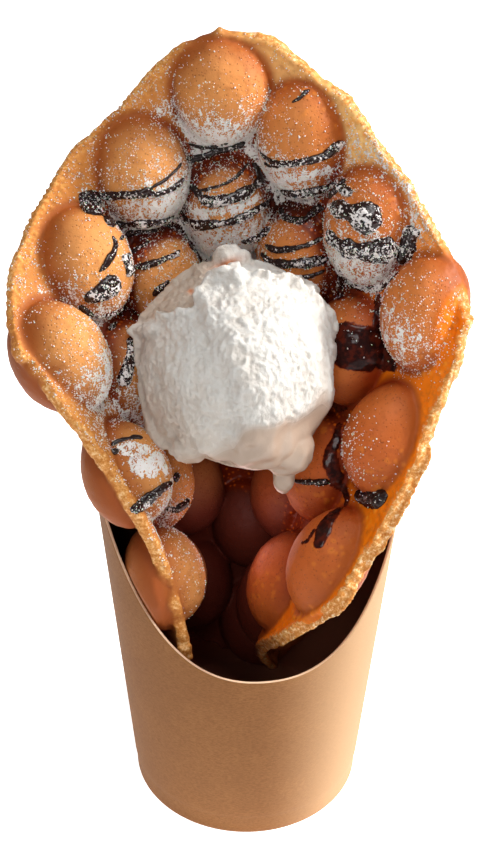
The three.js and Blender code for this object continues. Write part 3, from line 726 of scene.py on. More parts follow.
# Strokes of thick chocolate as the photograph shows them: how far sugar covers the stroke, then
# pixels along it, each with the stroke's width there.
STROKES = [
    (0.3, [(187, 143, 2), (195, 146, 2), (204, 148, 2.4), (211, 147, 2), (220, 145, 2), (228, 143, 1.6)]),
    (0.4, [(185, 158, 6), (191, 160, 7), (202, 157, 5), (210, 154, 5), (218, 151, 4), (233, 148, 4),
           (246, 142, 6)]),
    (0.3, [(100, 195, 5), (111, 196, 6), (130, 195, 6), (140, 194, 6.5), (147, 192, 7), (156, 194, 4),
           (163, 192, 4), (173, 188, 4), (180, 183, 4), (185, 175, 3)]),
    (0.1, [(147, 190, 2), (155, 185.5, 2), (163, 181, 2), (169, 176, 2), (176, 170, 2), (182, 162, 1.8)]),
    (0.35, [(90, 190, 12), (90, 196, 18), (90, 203, 20), (92, 210, 17), (96, 216, 11)]),
    (0.45, [(104, 220, 8), (109, 222, 10), (121, 224, 5), (131, 224, 5), (149, 223, 5), (158, 222, 4),
            (167, 220, 4), (172, 217, 3.5), (178, 213, 3), (182, 208, 2.5)]),
    (0.3, [(119, 240, 3), (125, 235, 4), (131, 233, 4.5), (140, 232, 4.5), (149, 232, 4), (158, 231, 3)]),
    (0.2, [(127, 254, 2.4), (133, 252, 2.4), (140, 247, 2.4), (147, 243, 2.2), (151, 240, 2)]),
    (0.5, [(133, 266, 4), (140, 267, 6), (149, 264.5, 6), (158, 262, 5.5), (167, 257.5, 5),
           (175, 255, 4.5), (180, 250, 3.5)]),
    (0.6, [(125, 253, 5), (127, 262, 6), (130, 270, 6), (126, 276, 5)]),
    (0.3, [(153, 296, 3), (158, 290, 5), (166, 284, 5), (169, 280, 4)]),
    (0.2, [(112, 236, 2.4), (115.5, 242, 3), (114.7, 250, 4.5), (110, 258, 5), (105, 266, 4.5),
           (99, 272, 3)]),
    (0.6, [(84, 299, 8), (95, 296, 11), (104, 291, 13), (112, 285, 13), (118, 277, 9)]),
    (0.3, [(79, 305, 4), (87, 312, 5), (94, 316, 4)]),
    (0.3, [(199, 189, 2), (206, 190, 2.6), (211, 188, 2.4), (220, 186, 2.2), (227, 183, 2.2),
           (234, 179, 2.2), (239, 174, 2.2), (245, 167, 2.2), (249, 162, 2)]),
    (0.3, [(189, 185, 6), (196, 190, 5), (201, 196, 5)]),
    (0.55, [(198, 197, 6), (206, 201, 8), (214, 202, 8.5), (225, 200, 8.5), (236, 197, 8), (247, 192, 8),
            (255, 186, 7), (261, 178, 6)]),
    (0.2, [(252, 162, 3), (256, 167, 4), (259, 176, 4), (262, 184, 4)]),
    (0.45, [(181, 212, 5), (187, 220, 6), (195, 225, 7), (203, 225, 7), (222, 223, 6), (231, 221.5, 6),
            (239, 219, 6), (247, 215, 6), (256, 210, 6), (265, 205, 5), (271, 197, 4)]),
    (0.7, [(240, 242, 4), (249, 241, 5), (256, 238, 5), (265, 233, 5), (271, 227, 4)]),
    (0.15, [(291, 103, 1.8), (300, 98.5, 2.6), (305, 92.5, 2.8), (310, 90, 2)]),
    (0.45, [(258, 148, 2), (263, 155, 2.5), (269, 160, 3.5), (278, 163.5, 5), (288, 164, 5.5),
            (298, 162.5, 5.5), (308, 160.5, 5), (318, 158.5, 5.5), (326, 155, 6.5), (333, 149, 8),
            (340, 144, 10), (345, 142, 9)]),
    (0.2, [(264, 162, 2), (270, 166, 2), (279, 167, 2)]),
    (0.7, [(277, 189, 4), (286, 192.5, 5), (296, 194, 5), (307, 192.5, 5), (317, 190, 5), (325, 187.5, 5),
           (333, 184, 4), (339, 180, 3)]),
    (0.2, [(330, 198, 5), (332, 195, 7), (336, 191, 5), (340, 185, 4), (346, 179, 2)]),
    (0.6, [(341, 187, 7), (346, 191, 8), (352, 195, 7)]),
    (0.75, [(330, 206, 12), (342, 210, 15), (352, 213, 18), (362, 216, 20), (371, 220, 20),
            (381, 224, 16)]),
    (0.55, [(328, 229, 6), (332, 240, 10), (345, 248, 12), (361, 251.5, 13), (374, 252.5, 14),
            (388, 250.5, 16), (397, 248, 18)]),
    (0.45, [(411, 225, 14), (409, 236, 20), (406, 246, 23), (403, 256, 20), (401, 265, 12)]),
    (0.3, [(279, 207, 4), (284, 217, 5), (291, 220, 6), (300, 221, 6), (307, 219, 5), (313, 212, 5),
           (319, 208, 8), (325, 209, 6)]),
    (0.4, [(265, 244, 3.5), (271, 249, 4.5), (280, 250, 5), (290, 249, 5), (300, 247, 5),
           (309, 244.5, 4.5), (317, 241, 4.5), (323, 237, 3.5)]),
    (0.5, [(261, 252, 4), (267, 260, 5), (275, 263, 6), (285, 264, 7), (295, 264, 7), (307, 263, 7),
           (317, 261, 7), (325, 260, 6), (330, 256, 5)]),
    (0.2, [(291, 276, 3), (302, 278, 3.5), (311, 276, 4), (320, 272.5, 3.5), (325, 270, 2.5)]),
    (0.5, [(130, 336, 6), (131, 350, 7), (129, 365, 8), (124, 379, 10), (121, 386, 8)]),
    (0.5, [(110, 326, 6), (115, 328, 8)]),
    (0.15, [(111, 446, 4), (114, 443, 4), (122, 439.5, 3), (135, 437, 3), (143, 438, 2)]),
    (0.35, [(113, 448, 7), (116, 455, 8)]),
    (0.3, [(131, 511, 7), (140, 506, 8), (150, 498, 8), (160, 490, 7), (168, 485, 6), (175, 480, 5),
           (178, 472, 4)]),
    (0.4, [(165, 508, 3), (175, 510, 5), (185, 504, 5), (189, 498, 3)]),
    (0.05, [(355, 494, 7), (362, 497, 13), (372, 498, 16), (382, 497, 14), (388, 495, 8)]),
    (0.05, [(292, 480, 3.5), (303, 482, 3.5), (318, 482, 4), (330, 482, 5)]),
]
# Bands that the photograph doesn't show in full: column, row, from and to in half-widths, level,
# tilt and sag in half-heights, and width in millimetres.
BANDS = [
    (-2, 2, -0.5, 0.6, 0.3, 0.2, 0.1, 1.8),
    (-1, 2.5, -0.7, 0.7, 0.4, 0.1, 0.1, 1.6),
    (1, 2.5, -0.7, 0.6, 0.3, -0.1, 0.1, 1.6),
]
# Thin glossy sauce that ran into the hollows, as strokes like those above.
SAUCE = [
    [(330, 330, 20), (345, 337, 32), (360, 343, 42), (372, 345, 40), (384, 358, 26), (393, 367, 10)],
    [(333, 352, 24), (350, 362, 20), (370, 366, 12)],
    [(378, 298, 8), (378, 315, 10), (377, 330, 14)],
    [(335, 262, 8), (341, 275, 9), (350, 283, 8), (362, 288, 8), (378, 288, 8), (390, 281, 6),
     (399, 272, 4)],
    [(341, 275, 9), (341, 288, 10), (340, 298, 8)],
    [(339, 425, 5), (336, 440, 9), (331, 452, 14), (331, 465, 18), (336, 477, 16)],
    [(332, 481, 8), (344, 488, 8), (348, 498, 8), (346, 505, 7)],
    [(341, 508, 6), (333, 514, 13), (326, 523, 16), (322, 534, 18), (319, 543, 12)],
    [(302, 543, 3), (308, 541, 4), (314, 531, 5)],
    [(332, 404, 6), (338, 408, 8), (347, 408, 4)],
    [(149, 404, 3), (152, 413, 4), (157, 423, 8), (161, 430, 8)],
    [(190, 246, 10), (198, 252, 14), (207, 255, 10)],
    [(91, 318, 4), (105, 316, 7), (120, 311, 12), (134, 312, 7)],
    [(184, 190, 5), (183, 203, 6), (184, 222, 4), (187, 236, 7)],
]
# Where sugar lies thick, as strokes like those above.
DRIFTS = [
    [(122, 449, 14), (135, 449, 17), (147, 449, 12)],
    [(138, 463, 22), (150, 470, 24), (160, 458, 20), (166, 470, 12)],
    [(105, 351, 8), (109, 364, 8), (106, 378, 9), (104, 388, 10)],
    [(195, 212, 8), (215, 213, 9), (240, 207, 9), (258, 197, 8)],
    [(270, 178, 8), (290, 178, 12), (312, 175, 13), (330, 170, 10)],
    [(200, 133, 6), (220, 133, 8), (238, 126, 8)],
    [(160, 205, 8), (172, 205, 10), (180, 195, 6)],
]


CHOCOLATE_VOXEL = 0.26
STROKE_STEP = 1.2                  # pixels between the places where a stroke is laid on
NEXT_BUBBLE = 2.2                  # a longer step than this, in millimetres, starts a new strip
LEAST_SEEN = 0.45                  # the share of its width that a strip shows at least
THINNEST = 0.42


def tube(points, out, half_width, half_thick, around=14):
    """A soft-ended strip of sauce along a line on a dome, whose outward directions are given."""
    along = unit(np.gradient(points, axis=0))
    side = unit(np.cross(out, along))
    count = len(points)
    ends = np.minimum(np.arange(count), np.arange(count)[::-1]) / max(count * 0.1, 2)
    taper = np.sqrt(np.clip(ends, 0.03, 1))
    rings = []
    for angle in np.linspace(0, 2 * np.pi, around, endpoint=False):
        across = half_width * taper * math.cos(angle)
        lift = half_thick * taper * math.sin(angle) - across ** 2 / (2 * DOME)
        rings.append(points + side * across[:, None] + out * lift[:, None])
    return capped(np.stack(rings, 1).reshape(-1, 3), count, around, False)


def sauce_strip(points, out, half, seed):
    half = np.maximum(half * (1.38 + 0.4 * noise(points, 2.6, seed)), THINNEST)
    thick = 0.28 + 0.38 * half ** 0.8
    return tube(points + out * (0.22 * thick[:, None]), out, half, thick)


def swag(band, seed):
    """A hanging strip across a bubble, from a line of BANDS."""
    column, row, start, stop, level, tilt, sag, width = band
    bubble = BUBBLES[column, row]
    count = int((stop - start) * bubble.half[0] * 1.3 / 0.4) + 4
    across = np.linspace(start, stop, count)
    points, out = bubble.on_dome(across, level + tilt * across + sag * across ** 2)
    return sauce_strip(points, out, np.full(count, width / 2), seed)


def along(stroke):
    """The stroke's pixels and widths again, at even steps."""
    stroke = np.array(stroke, float)
    length = np.concatenate([[0], np.cumsum(np.linalg.norm(np.diff(stroke[:, :2], axis=0), axis=1))])
    places = np.linspace(0, length[-1], int(length[-1] / STROKE_STEP) + 2)
    return np.stack([np.interp(places, length, stroke[:, k]) for k in range(3)], 1)


def laid_on(tree, stroke):
    """Where the camera sees a stroke on a surface: places, straight out of it, and half-widths."""
    places, outs, halves = [], [], []
    for x, y, width in along(stroke):
        place, out, _, away = tree.ray_cast(Vector(CAMERA_PLACE), Vector(sight_line(x, y)))
        if place is not None:
            places.append(place)
            outs.append(out if out.dot(Vector(CAMERA_FORWARD)) < 0 else -out)
            halves.append(width / 2 * away / FOCAL_PIXELS)
    return np.array(places), np.array(outs), np.array(halves)


def strips(tree, stroke, seed):
    """The stroke as strips of sauce, a new one wherever it steps from one bubble to another."""
    places, outs, halves = laid_on(tree, stroke)
    steps = np.flatnonzero(np.linalg.norm(np.diff(places, axis=0), axis=1) > NEXT_BUBBLE) + 1
    made = []
    for start, stop in zip([0, *steps], [*steps, len(places)]):
        if stop - start < 3:
            continue
        points, out = places[start:stop].copy(), outs[start:stop].copy()
        for _ in range(3):
            points[1:-1] = (points[:-2] + 2 * points[1:-1] + points[2:]) / 4
            out[1:-1] = out[:-2] + 2 * out[1:-1] + out[2:]
            out = unit(out)
        # A strip that turns away from the camera is wider than it looks.
        side = unit(np.cross(out, unit(np.gradient(points, axis=0))))
        seen = np.sqrt(1 - (side * unit(points - CAMERA_PLACE)).sum(1) ** 2)
        made.append(sauce_strip(points, out, halves[start:stop] / np.maximum(seen, LEAST_SEEN), seed))
    return made


def brushed(tree, finder, points, strokes, seed):
    """How fully brush strokes cover each point, 0 to 1, with uneven outlines."""
    cover = np.zeros(len(points))
    for stroke in strokes:
        places, _, halves = laid_on(tree, stroke)
        for place, half in zip(places, halves):
            for _, index, away in finder.find_range(place, half * 1.2):
                cover[index] = max(cover[index], 1.25 - away / half)
    return ramp(cover + 0.16 * rough(points, 2.5, 3, seed) * (cover > 0), 0.15, 0.5)


def chocolate_shell(tree):
    """All strips fused to one shell, marked with how thickly sugar lies on it."""
    parts, middles, dusty = [], [], []
    for i, (dust, stroke) in enumerate(STROKES):
        parts += strips(tree, stroke, 100 + 2 * i)
        places, _, halves = laid_on(tree, stroke)
        middles.append(places)
        dusty.append(np.stack([np.full(len(places), dust), halves], 1))
    parts += [swag(band, 300 + i) for i, band in enumerate(BANDS)]
    shell = fused(parts, CHOCOLATE_VOXEL).smoothed(2)
    shell.swollen(0.17 * rough(shell.points, 1.3, 2, 320))
    shell.points = inside_cup(shell.points)
    middles, dusty = np.vstack(middles), np.vstack(dusty)
    finder = finder_of(middles)
    nearest = np.array([finder.find(point)[1] for point in shell.points.tolist()])
    dust, half = dusty[nearest].T
    # Sugar lies on the lower side of each stroke and leaves a dark line along its top.
    above = ((shell.points - middles[nearest]) @ CAMERA_UP) / half
    sugar = np.minimum(0.14 + 0.8 * dust, 0.56) * (1 - 0.5 * ramp(above, 0.2, 0.9))
    shell.marks = dict(sugar=sugar)
    return shell


# ---- Icing sugar ----

# Clouds of sugar on the lattice: column, row, half-widths in columns and rows, strength.
SUGAR_CLOUDS = [
    (-0.2, 0.9, 1.9, 1.1, 1.0),
    (-2.7, 1.9, 1.0, 1.2, 0.75),
    (-2.9, 3.0, 0.7, 0.7, 0.8),
    (2.1, 0.95, 0.9, 0.8, 0.85),
    (3.0, 1.5, 0.5, 0.5, 0.7),
    (2.9, 2.6, 0.45, 0.4, 0.35),
]
GRAIN_COUNT = 24000
SMALLEST_GRAIN, GRAIN_SPREAD = 0.10, 0.17      # half-widths: the least, and how much more the largest has


def sugar_on(column, row, drop, bubble, facing):
    """How thickly sugar lies, 0 to 1: heavier low on each bubble and along its foot."""
    cloud = np.zeros(len(column))
    for at_column, at_row, across, down, strength in SUGAR_CLOUDS:
        away = ((column - at_column) / across) ** 2 + ((row - at_row) / down) ** 2
        cloud = np.maximum(cloud, strength * np.exp(-away ** 1.5))
    low = np.where(bubble > 0.5, 0.4 + 0.6 * ramp(-drop, -0.7, 0.8), 0.85)
    return cloud * low * facing


def sugar_grains(shells):
    """Loose grains on the given shells, as thick as their sugar marks say, each a small octahedron."""
    random = np.random.default_rng(7)
    spots, outs, weights = [], [], []
    for shell in shells:
        corners = shell.points[shell.faces]
        area = np.linalg.norm(np.cross(corners[:, 2] - corners[:, 0], corners[:, 3] - corners[:, 1]), axis=1)
        weight = area * np.clip(shell.marks["sugar"][shell.faces].mean(1) - 0.04, 0, 1)
        spots.append(corners)
        outs.append(shell.normals()[shell.faces[:, 0]])
        weights.append(weight)
    spots, outs, weights = np.vstack(spots), np.vstack(outs), np.concatenate(weights)
    middles = spots.mean(1)
    weights = weights * np.clip(0.45 + 0.9 * noise(middles, 2.4, 81) + 0.8 * noise(middles, 0.9, 83), 0.02, 2)
    chosen = random.choice(len(weights), GRAIN_COUNT, p=weights / weights.sum())
    mix = random.dirichlet((1, 1, 1, 1), GRAIN_COUNT)
    middle = (spots[chosen] * mix[:, :, None]).sum(1)
    size = SMALLEST_GRAIN + GRAIN_SPREAD * random.random(GRAIN_COUNT) ** 2.2
    corners = np.array([(1, 0, 0), (-1, 0, 0), (0, 1, 0), (0, -1, 0), (0, 0, 1), (0, 0, -1)], float)
    stretched = corners[None] * (0.7 + 0.6 * random.random((GRAIN_COUNT, 1, 3)))
    turns = unit(random.normal(size=(GRAIN_COUNT, 4)))
    w, x, y, z = turns.T
    turn = np.stack([1 - 2 * (y * y + z * z), 2 * (x * y - z * w), 2 * (x * z + y * w),
                     2 * (x * y + z * w), 1 - 2 * (x * x + z * z), 2 * (y * z - x * w),
                     2 * (x * z - y * w), 2 * (y * z + x * w), 1 - 2 * (x * x + y * y)], 1).reshape(-1, 3, 3)
    points = middle[:, None] + outs[chosen][:, None] * size[:, None, None] * 0.45
    points = points + np.einsum("nij,nkj->nki", turn, stretched) * size[:, None, None]
    sides = np.array([(0, 2, 4), (2, 1, 4), (1, 3, 4), (3, 0, 4), (2, 0, 5), (1, 2, 5), (3, 1, 5), (0, 3, 5)])
    faces = sides[None] + 6 * np.arange(GRAIN_COUNT)[:, None, None]
    return Shell(points.reshape(-1, 3), faces.reshape(-1, 3))


# ---- Materials ----

def linear(red, green, blue):
    """A colour given as 0 to 255 per channel, as the renderer wants it."""
    def channel(value):
        value /= 255
        return value / 12.92 if value <= 0.04045 else ((value + 0.055) / 1.055) ** 2.4
    return (channel(red), channel(green), channel(blue), 1.0)


class Paint:
    """A node material written as sums: each call adds a node and gives back its output."""

    def __init__(self, name):
        self.material = bpy.data.materials.new(name)
        self.material.use_nodes = True
        self.tree = self.material.node_tree
        self.shader = self.tree.nodes["Principled BSDF"]
        self.place = self.add("ShaderNodeTexCoord").outputs["Object"]

    def add(self, kind, **settings):
        node = self.tree.nodes.new(kind)
        for name, value in settings.items():
            setattr(node, name, value)
        return node

    def feed(self, socket, value):
        if isinstance(value, bpy.types.NodeSocket):
            self.tree.links.new(value, socket)
        else:
            socket.default_value = value

    def set(self, **inputs):
        for name, value in inputs.items():
            self.feed(self.shader.inputs[name.replace("_", " ")], value)
        return self

    def mark(self, name):
        return self.add("ShaderNodeAttribute", attribute_name=name).outputs["Fac"]

    def sum(self, operation, first, second=0.0):
        node = self.add("ShaderNodeMath", operation=operation)
        self.feed(node.inputs[0], first)
        self.feed(node.inputs[1], second)
        return node.outputs[0]

    def times(self, first, second):
        return self.sum("MULTIPLY", first, second)

    def plus(self, first, second):
        return self.sum("ADD", first, second)

    def span(self, value, low, high, to_low=0.0, to_high=1.0):
        node = self.add("ShaderNodeMapRange", interpolation_type="SMOOTHSTEP")
        for socket, given in zip(node.inputs, (value, low, high, to_low, to_high)):
            self.feed(socket, given)
        return node.outputs[0]

    def blend(self, share, first, second):
        """From the first colour to the second: sockets, or 0 to 255 per channel."""
        node = self.add("ShaderNodeMix", data_type="RGBA")
        self.feed(node.inputs["Factor"], share)
        for socket, colour in ((node.inputs[6], first), (node.inputs[7], second)):
            self.feed(socket, linear(*colour) if isinstance(colour, tuple) else colour)
        return node.outputs[2]

    def between(self, share, first, second):
        """From the first number to the second."""
        node = self.add("ShaderNodeMix")
        for index, value in ((0, share), (2, first), (3, second)):
            self.feed(node.inputs[index], value)
        return node.outputs[0]

    def stretched(self, scale):
        node = self.add("ShaderNodeMapping")
        self.feed(node.inputs["Vector"], self.place)
        node.inputs["Scale"].default_value = scale
        return node.outputs[0]

    def noise(self, size, detail=2.0, roughness=0.5, place=None):
        """Noise with features about `size` millimetres across."""
        node = self.add("ShaderNodeTexNoise")
        self.feed(node.inputs["Vector"], place or self.place)
        node.inputs["Scale"].default_value = 1 / (size * MM)
        node.inputs["Detail"].default_value = detail
        node.inputs["Roughness"].default_value = roughness
        return node.outputs["Fac"]

    def spots(self, size):
        """Distance from scattered spots about `size` millimetres apart, in spacings."""
        node = self.add("ShaderNodeTexVoronoi")
        self.feed(node.inputs["Vector"], self.place)
        node.inputs["Scale"].default_value = 1 / (size * MM)
        return node.outputs["Distance"]

    def bump(self, height, depth, before=None):
        """A normal that follows `height`, `depth` millimetres deep."""
        node = self.add("ShaderNodeBump")
        node.inputs["Distance"].default_value = depth * MM
        self.feed(node.inputs["Height"], height)
        if before is not None:
            self.feed(node.inputs["Normal"], before)
        return node.outputs[0]


def sugar_dust(paint, amount, size=1.0):
    """Where fine sugar covers the surface, for how thickly it lies: specks drawn out into streaks."""
    fine = paint.noise(0.46 * size, 2.0, 0.6)
    streaks = paint.noise(1.2 * size, 3.0, 0.65, paint.stretched((1.0, 1.0, 0.42)))
    patches = paint.noise(4.5, 2.0, 0.6)
    height = paint.plus(paint.times(fine, 0.6), paint.times(streaks, 0.6))
    height = paint.plus(height, paint.times(patches, 0.3))
    return paint.span(paint.plus(height, paint.times(amount, 0.42)), 1.0, 1.05)


def waffle_paint():
    paint = Paint("baked_waffle")
    crown, bubble, border, boiled = (paint.mark(m) for m in ("crown", "bubble", "border", "boiled"))
    right = paint.span(paint.mark("column"), -1.2, 2.4)
    broad = paint.noise(9.0, 2.0, 0.5)
    mottled = paint.noise(2.2, 3.0, 0.6)
    row = paint.mark("row")
    # Painted light: towards the right the sheet is painted paler gold, and vivid orange in its upper rows,
    # for light shining through the thin batter.
    glowing = paint.times(right, paint.span(row, 0.2, 1.4))
    shaded = paint.times(right, paint.span(row, 1.7, 2.6))
    valley = paint.blend(right, (208, 132, 62), (255, 208, 134))
    valley = paint.blend(glowing, valley, (240, 122, 2))
    # The foot of each bubble, where its dome meets the sheet, is painted a darker, redder brown than its top:
    # partly the crust's own browning, partly painted shade.
    foot = paint.blend(right, (130, 52, 18), (148, 48, 8))
    foot = paint.blend(paint.times(paint.mark("rim"), 0.4), foot, (200, 118, 50))
    top = paint.blend(right, (220, 150, 84), (212, 124, 60))
    top = paint.blend(shaded, top, (196, 98, 42))
    high = paint.plus(crown, paint.times(paint.plus(broad, -0.5), 0.5))
    dome = paint.blend(paint.span(high, 0.14, 0.92), foot, top)
    colour = paint.blend(bubble, valley, dome)
    # Toasted patches, fine dark pores, and blisters painted bright orange: painted light shining through
    # them.
    colour = paint.blend(paint.times(paint.span(mottled, 0.5, 0.8), 0.45), colour, (150, 72, 30))
    pores = paint.times(paint.span(paint.spots(0.9), 0.05, 0.32, 1.0, 0.0), paint.span(crown, 0.15, 0.5))
    colour = paint.blend(paint.times(pores, 0.5), colour, (110, 48, 20))
    lit = paint.times(paint.span(boiled, 0.06, 0.3, 0.0, 0.6), paint.span(bubble, 0.0, 1.0, 1.0, 0.35))
    colour = paint.blend(lit, colour, (244, 150, 40))
    # The torn edge: pale crumb between two crusts, streaked along.
    streaks = paint.noise(1.0, 3.0, 0.7)
    crumb = paint.blend(paint.span(streaks, 0.3, 0.7), (196, 116, 46), (238, 178, 100))
    cream = paint.times(paint.span(streaks, 0.5, 0.75), paint.span(right, 0.0, 1.0, 0.5, 1.0))
    crumb = paint.blend(cream, crumb, (255, 236, 200))
    rind = paint.blend(glowing, (240, 176, 94), (206, 112, 34))
    colour = paint.blend(paint.times(border, paint.span(streaks, 0.45, 0.65, 0.0, 0.75)), colour, rind)
    outer = paint.span(paint.mark("layer"), -1.0, -2.4)
    colour = paint.blend(paint.times(outer, 0.75), colour, (156, 78, 34))
    colour = paint.blend(paint.span(paint.mark("to_edge"), 0.3, 1.3, 1.0, 0.0), colour, crumb)
    # Thin chocolate in the hollows; deep in the roll a dark brown that is partly chocolate and partly painted
    # shade; then sugar over it all.
    soak_and_shade = paint.mark("soak_and_shade")
    colour = paint.blend(soak_and_shade, colour, (92, 38, 26))
    syrup = paint.mark("syrup")
    thin = paint.blend(paint.span(paint.spots(1.5), 0.1, 0.4), (206, 96, 20), (112, 36, 12))
    thick = paint.blend(paint.span(mottled, 0.35, 0.6), (84, 28, 16), (40, 14, 12))
    colour = paint.blend(paint.span(syrup, 0.15, 0.4), colour, thin)
    colour = paint.blend(paint.span(syrup, 0.4, 0.8), colour, thick)
    dust = sugar_dust(paint, paint.mark("sugar"))
    colour = paint.blend(dust, colour, (246, 242, 238))
    shine = paint.between(right, 0.6, 0.5)
    shine = paint.between(paint.span(syrup, 0.2, 0.6), shine, 0.12)
    shine = paint.between(dust, shine, 0.9)
    height = paint.plus(paint.times(paint.noise(0.5, 3.0, 0.6), 0.5), paint.times(pores, -0.7))
    height = paint.times(height, paint.span(syrup, 0.2, 0.6, 1.0, 0.1))
    normal = paint.bump(paint.plus(height, paint.times(dust, 0.9)), 0.16)
    paint.set(Base_Color=colour, Roughness=shine, Normal=normal, Specular_IOR_Level=0.2)
    paint.set(Subsurface_Weight=0.06, Subsurface_Scale=2.0 * MM, Subsurface_Radius=(1.0, 0.42, 0.14))
    return paint.material


def chocolate_paint():
    paint = Paint("chocolate")
    dust = sugar_dust(paint, paint.mark("sugar"), 1.5)
    colour = paint.blend(paint.noise(2.0), (20, 8, 8), (44, 20, 16))
    colour = paint.blend(dust, colour, (236, 230, 228))
    shine = paint.between(dust, 0.2, 0.9)
    paint.set(Base_Color=colour, Roughness=shine, Normal=paint.bump(dust, 0.12))
    return paint.material


def sugar_paint():
    paint = Paint("icing_sugar")
    colour = paint.blend(paint.noise(0.4), (250, 248, 244), (232, 226, 220))
    paint.set(Base_Color=colour, Roughness=0.8, Subsurface_Weight=0.3,
              Subsurface_Scale=0.3 * MM)
    return paint.material


def ice_cream_paint():
    paint = Paint("ice_cream")
    melted = paint.mark("melted")
    broad = paint.noise(6.0, 3.0, 0.55)
    colour = paint.blend(broad, (210, 206, 199), (228, 225, 220))
    # Painted shade: the hollows between the crests of the torn surface are painted a darker beige.
    colour = paint.blend(paint.span(paint.mark("crest"), 0.2, 0.8, 0.3, 0.0), colour, (204, 190, 176))
    # Painted shade: the scoop behind the torn ridge is painted a darker beige.
    colour = paint.blend(paint.times(paint.mark("recess_shade"), 0.85), colour, (192, 174, 156))
    # Painted shade: the lower left of the scoop is painted a darker beige.
    low = paint.plus(paint.times(paint.mark("across"), -0.7), paint.times(paint.mark("up"), -0.55))
    colour = paint.blend(paint.span(paint.plus(low, broad), 0.75, 1.5, 0.0, 0.6), colour, (200, 182, 164))
    colour = paint.blend(melted, colour, (182, 160, 142))
    specks = paint.times(paint.span(paint.spots(4.6), 0.02, 0.07, 1.0, 0.0), paint.span(broad, 0.45, 0.6))
    colour = paint.blend(paint.times(specks, 0.5), colour, (226, 150, 104))
    colour = paint.blend(paint.mark("stain"), colour, (186, 112, 66))
    crystals = paint.plus(paint.noise(0.5, 4.0, 0.65), paint.times(paint.noise(1.6, 2.0), 0.8))
    normal = paint.bump(paint.times(crystals, paint.span(melted, 0.2, 0.8, 1.0, 0.15)), 0.3)
    shine = paint.between(melted, 0.55, 0.2)
    paint.set(Base_Color=colour, Roughness=shine, Normal=normal)
    paint.set(Subsurface_Weight=0.15, Subsurface_Scale=1.5 * MM, Subsurface_Radius=(1.0, 0.85, 0.7))
    return paint.material


def kraft_paint():
    paint = Paint("kraft_paper")
    fibres = paint.noise(1.0, 4.0, 0.7, paint.stretched((1.0, 1.0, 3.2)))
    flecks = paint.span(paint.noise(0.7, 2.0, 0.6), 0.62, 0.75)
    cloudy = paint.noise(14.0, 2.0, 0.5)
    colour = paint.blend(paint.span(fibres, 0.3, 0.7), (136, 88, 47), (162, 110, 64))
    colour = paint.blend(paint.times(paint.span(cloudy, 0.35, 0.65), 0.25), colour, (132, 86, 48))
    colour = paint.blend(paint.times(flecks, 0.22), colour, (100, 62, 34))
    colour = paint.blend(paint.mark("cut"), colour, (232, 196, 164))
    # The inner face is painted a darker, redder brown: partly the paper's own tone, partly painted shade.
    colour = paint.blend(paint.mark("inside"), colour, (138, 84, 62))
    # Painted highlight: the side turned to the key light is painted a little paler.
    colour = paint.blend(paint.times(paint.mark("painted_light_side"), 0.66), colour, (204, 168, 128))
    paint.set(Base_Color=colour, Roughness=0.7, Specular_IOR_Level=0.2, Normal=paint.bump(fibres, 0.05))
    return paint.material


def floor_paint():
    paint = Paint("pale_floor")
    colour = paint.blend(paint.noise(60.0), (252, 252, 252), (255, 255, 255))
    # Lit from below under and behind the part, as on a light table, and plain in front of it.
    split = paint.add("ShaderNodeSeparateXYZ")
    paint.feed(split.inputs[0], paint.place)
    glow = paint.times(paint.span(split.outputs["Y"], -0.08, -0.045),
                       paint.span(paint.sum("ABSOLUTE", split.outputs["X"]), 0.2, 0.4, 1.0, 0.0))
    paint.set(Base_Color=colour, Roughness=0.9)
    paint.set(Emission_Color=colour, Emission_Strength=paint.times(glow, 0.92))
    return paint.material


# ---- The scene ----

CLEARANCE = 0.02                   # millimetres that every piece keeps inside the part's box
FLOOR_HALF = 3000
# Lights: place in metres, disc size in metres, watts, colour.
LIGHTS = dict(
    key=((0.95, 0.06, 0.66), 0.35, 17, (1.0, 0.98, 0.95)),
    top=((0.15, -0.35, 1.15), 0.6, 5, (1.0, 1.0, 1.0)),
    fill=((-0.15, -0.75, 0.62), 0.3, 1.3, (1.0, 1.0, 1.0)),
)
LIT_PLACE = (0, 0, 0.12)
# A faint glow low in the roll, where light comes through the batter.
GLOW_PLACE, GLOW_RADIUS, GLOW_WATTS, GLOW_COLOUR = (-2, -6, 84), 0.012, 0.009, (1.0, 0.68, 0.64)
WORLD_STRENGTH = 0.2


def finished(shell, name, paint, node=None, smooth=True):
    """The shell as an object of the part, with its finish and its place in the frame's record."""
    shell.points = np.clip(shell.points, PART_LOW + CLEARANCE, PART_HIGH - CLEARANCE)
    made = shell.to_object(name, smooth)
    made.data.materials.append(paint)
    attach(made, "root")
    if node:
        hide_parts(node)
    return made


def marked_cup():
    shell = cup_shell()
    radius = np.hypot(shell.points[:, 0], shell.points[:, 1])
    height = shell.points[:, 2]
    azimuth = np.arctan2(shell.points[:, 0], -shell.points[:, 1])
    depth = wall_radius(height) - radius
    cut = (height > rim_height(azimuth) - 0.08) & (height > 20)
    inside = (depth > CUP["wall"] * 0.7) & (height > 5) & ~cut
    # Painted highlight: the outer wall is painted paler on the side towards the key light.
    painted_light_side = ramp(azimuth, 0.1, 1.0) * (1 - ramp(azimuth, 1.9, 2.8)) * ~inside
    shell.marks = dict(cut=cut.astype(float), inside=inside.astype(float), painted_light_side=painted_light_side)
    return shell


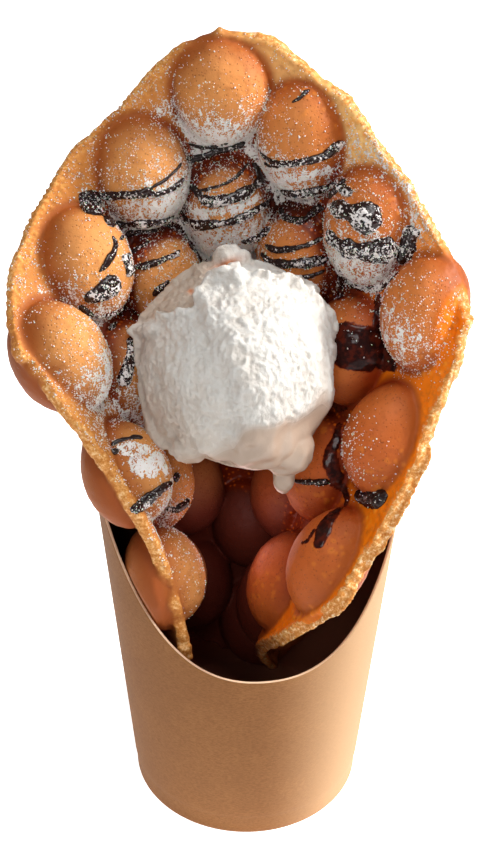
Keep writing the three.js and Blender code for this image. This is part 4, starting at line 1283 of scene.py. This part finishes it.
def marked_waffle():
    shell = waffle_shell()
    marks = shell.marks
    inner = ramp(marks["layer"], -0.5, 1.0)
    marks["sugar"] = sugar_on(marks["column"], marks["row"], marks["drop"], marks["bubble"], inner)
    hollow = 1 - ramp(marks["crown"], 0.25, 0.75)
    column, row = marks["column"], marks["row"]
    centre = np.exp(-(((column + 0.1) / 2.1) ** 2 + ((row - 1.5) / 1.1) ** 2) ** 2)
    low = np.exp(-(((column - 0.3) / 2.4) ** 2 + ((row - 2.9) / 1.2) ** 2) ** 2)
    marks["syrup"] = inner * np.maximum(0.85 * centre * hollow, 0.6 * low * hollow)
    tree, finder = shell.tree(), finder_of(shell.points)
    for mark, strokes, seed, strength in (("syrup", SAUCE, 330, 1), ("sugar", DRIFTS, 340, 0.8)):
        painted = inner * brushed(tree, finder, shell.points, strokes, seed) * strength
        marks[mark] = np.maximum(marks[mark], painted)
    shell.swollen(0.3 * ramp(marks["syrup"], 0.3, 0.9))
    # Deep in the roll the inner face is painted dark brown: partly thin chocolate, partly painted shade.
    deep = ramp(112 - shell.points[:, 2], 0, 35)
    marks["soak_and_shade"] = inner * deep * (1 - ramp(np.abs(column), 1.6, 2.6))
    return shell, tree


def build():
    waffle, tree = marked_waffle()
    chocolate = chocolate_shell(tree)
    finished(marked_cup(), "kraft_cup", kraft_paint(), "cup")
    finished(waffle, "waffle_sheet", waffle_paint(), "waffle")
    finished(chocolate, "chocolate_drizzle", chocolate_paint(), "waffle")
    finished(scoop_shell(), "ice_cream_scoop", ice_cream_paint(), "ice_cream")
    finished(sugar_grains([waffle, chocolate]), "sugar_grains", sugar_paint(), smooth=False)


def add_floor():
    corners = [(x * FLOOR_HALF, y * FLOOR_HALF, 0) for x, y in ((-1, -1), (1, -1), (1, 1), (-1, 1))]
    floor = Shell(corners, [(0, 1, 2, 3)]).to_object("floor")
    floor.data.materials.append(floor_paint())


def add_light(name, place, size, power, colour):
    data = bpy.data.lights.new(name, "AREA")
    data.shape = "DISK"
    data.size = size
    data.energy = power
    data.color = colour
    light = bpy.data.objects.new(name, data)
    light.location = place
    toward = Vector(LIT_PLACE) - light.location
    light.rotation_mode = "QUATERNION"
    light.rotation_quaternion = toward.to_track_quat("-Z", "Y")
    bpy.context.collection.objects.link(light)


def add_lights():
    for name, settings in LIGHTS.items():
        add_light(name, *settings)
    glow = bpy.data.lights.new("inside", "POINT")
    glow.energy = GLOW_WATTS
    glow.shadow_soft_size = GLOW_RADIUS
    glow.color = GLOW_COLOUR
    inside = bpy.data.objects.new("inside", glow)
    inside.location = (CUP_AXIS + GLOW_PLACE) * MM
    inside.visible_camera = False
    bpy.context.collection.objects.link(inside)
    world = bpy.data.worlds.new("studio")
    world.use_nodes = True
    background = world.node_tree.nodes["Background"]
    background.inputs["Color"].default_value = (1.0, 1.0, 1.0, 1.0)
    background.inputs["Strength"].default_value = WORLD_STRENGTH
    bpy.context.scene.world = world


build()
add_floor()
add_lights()
bpy.context.scene.view_settings.view_transform = "Standard"
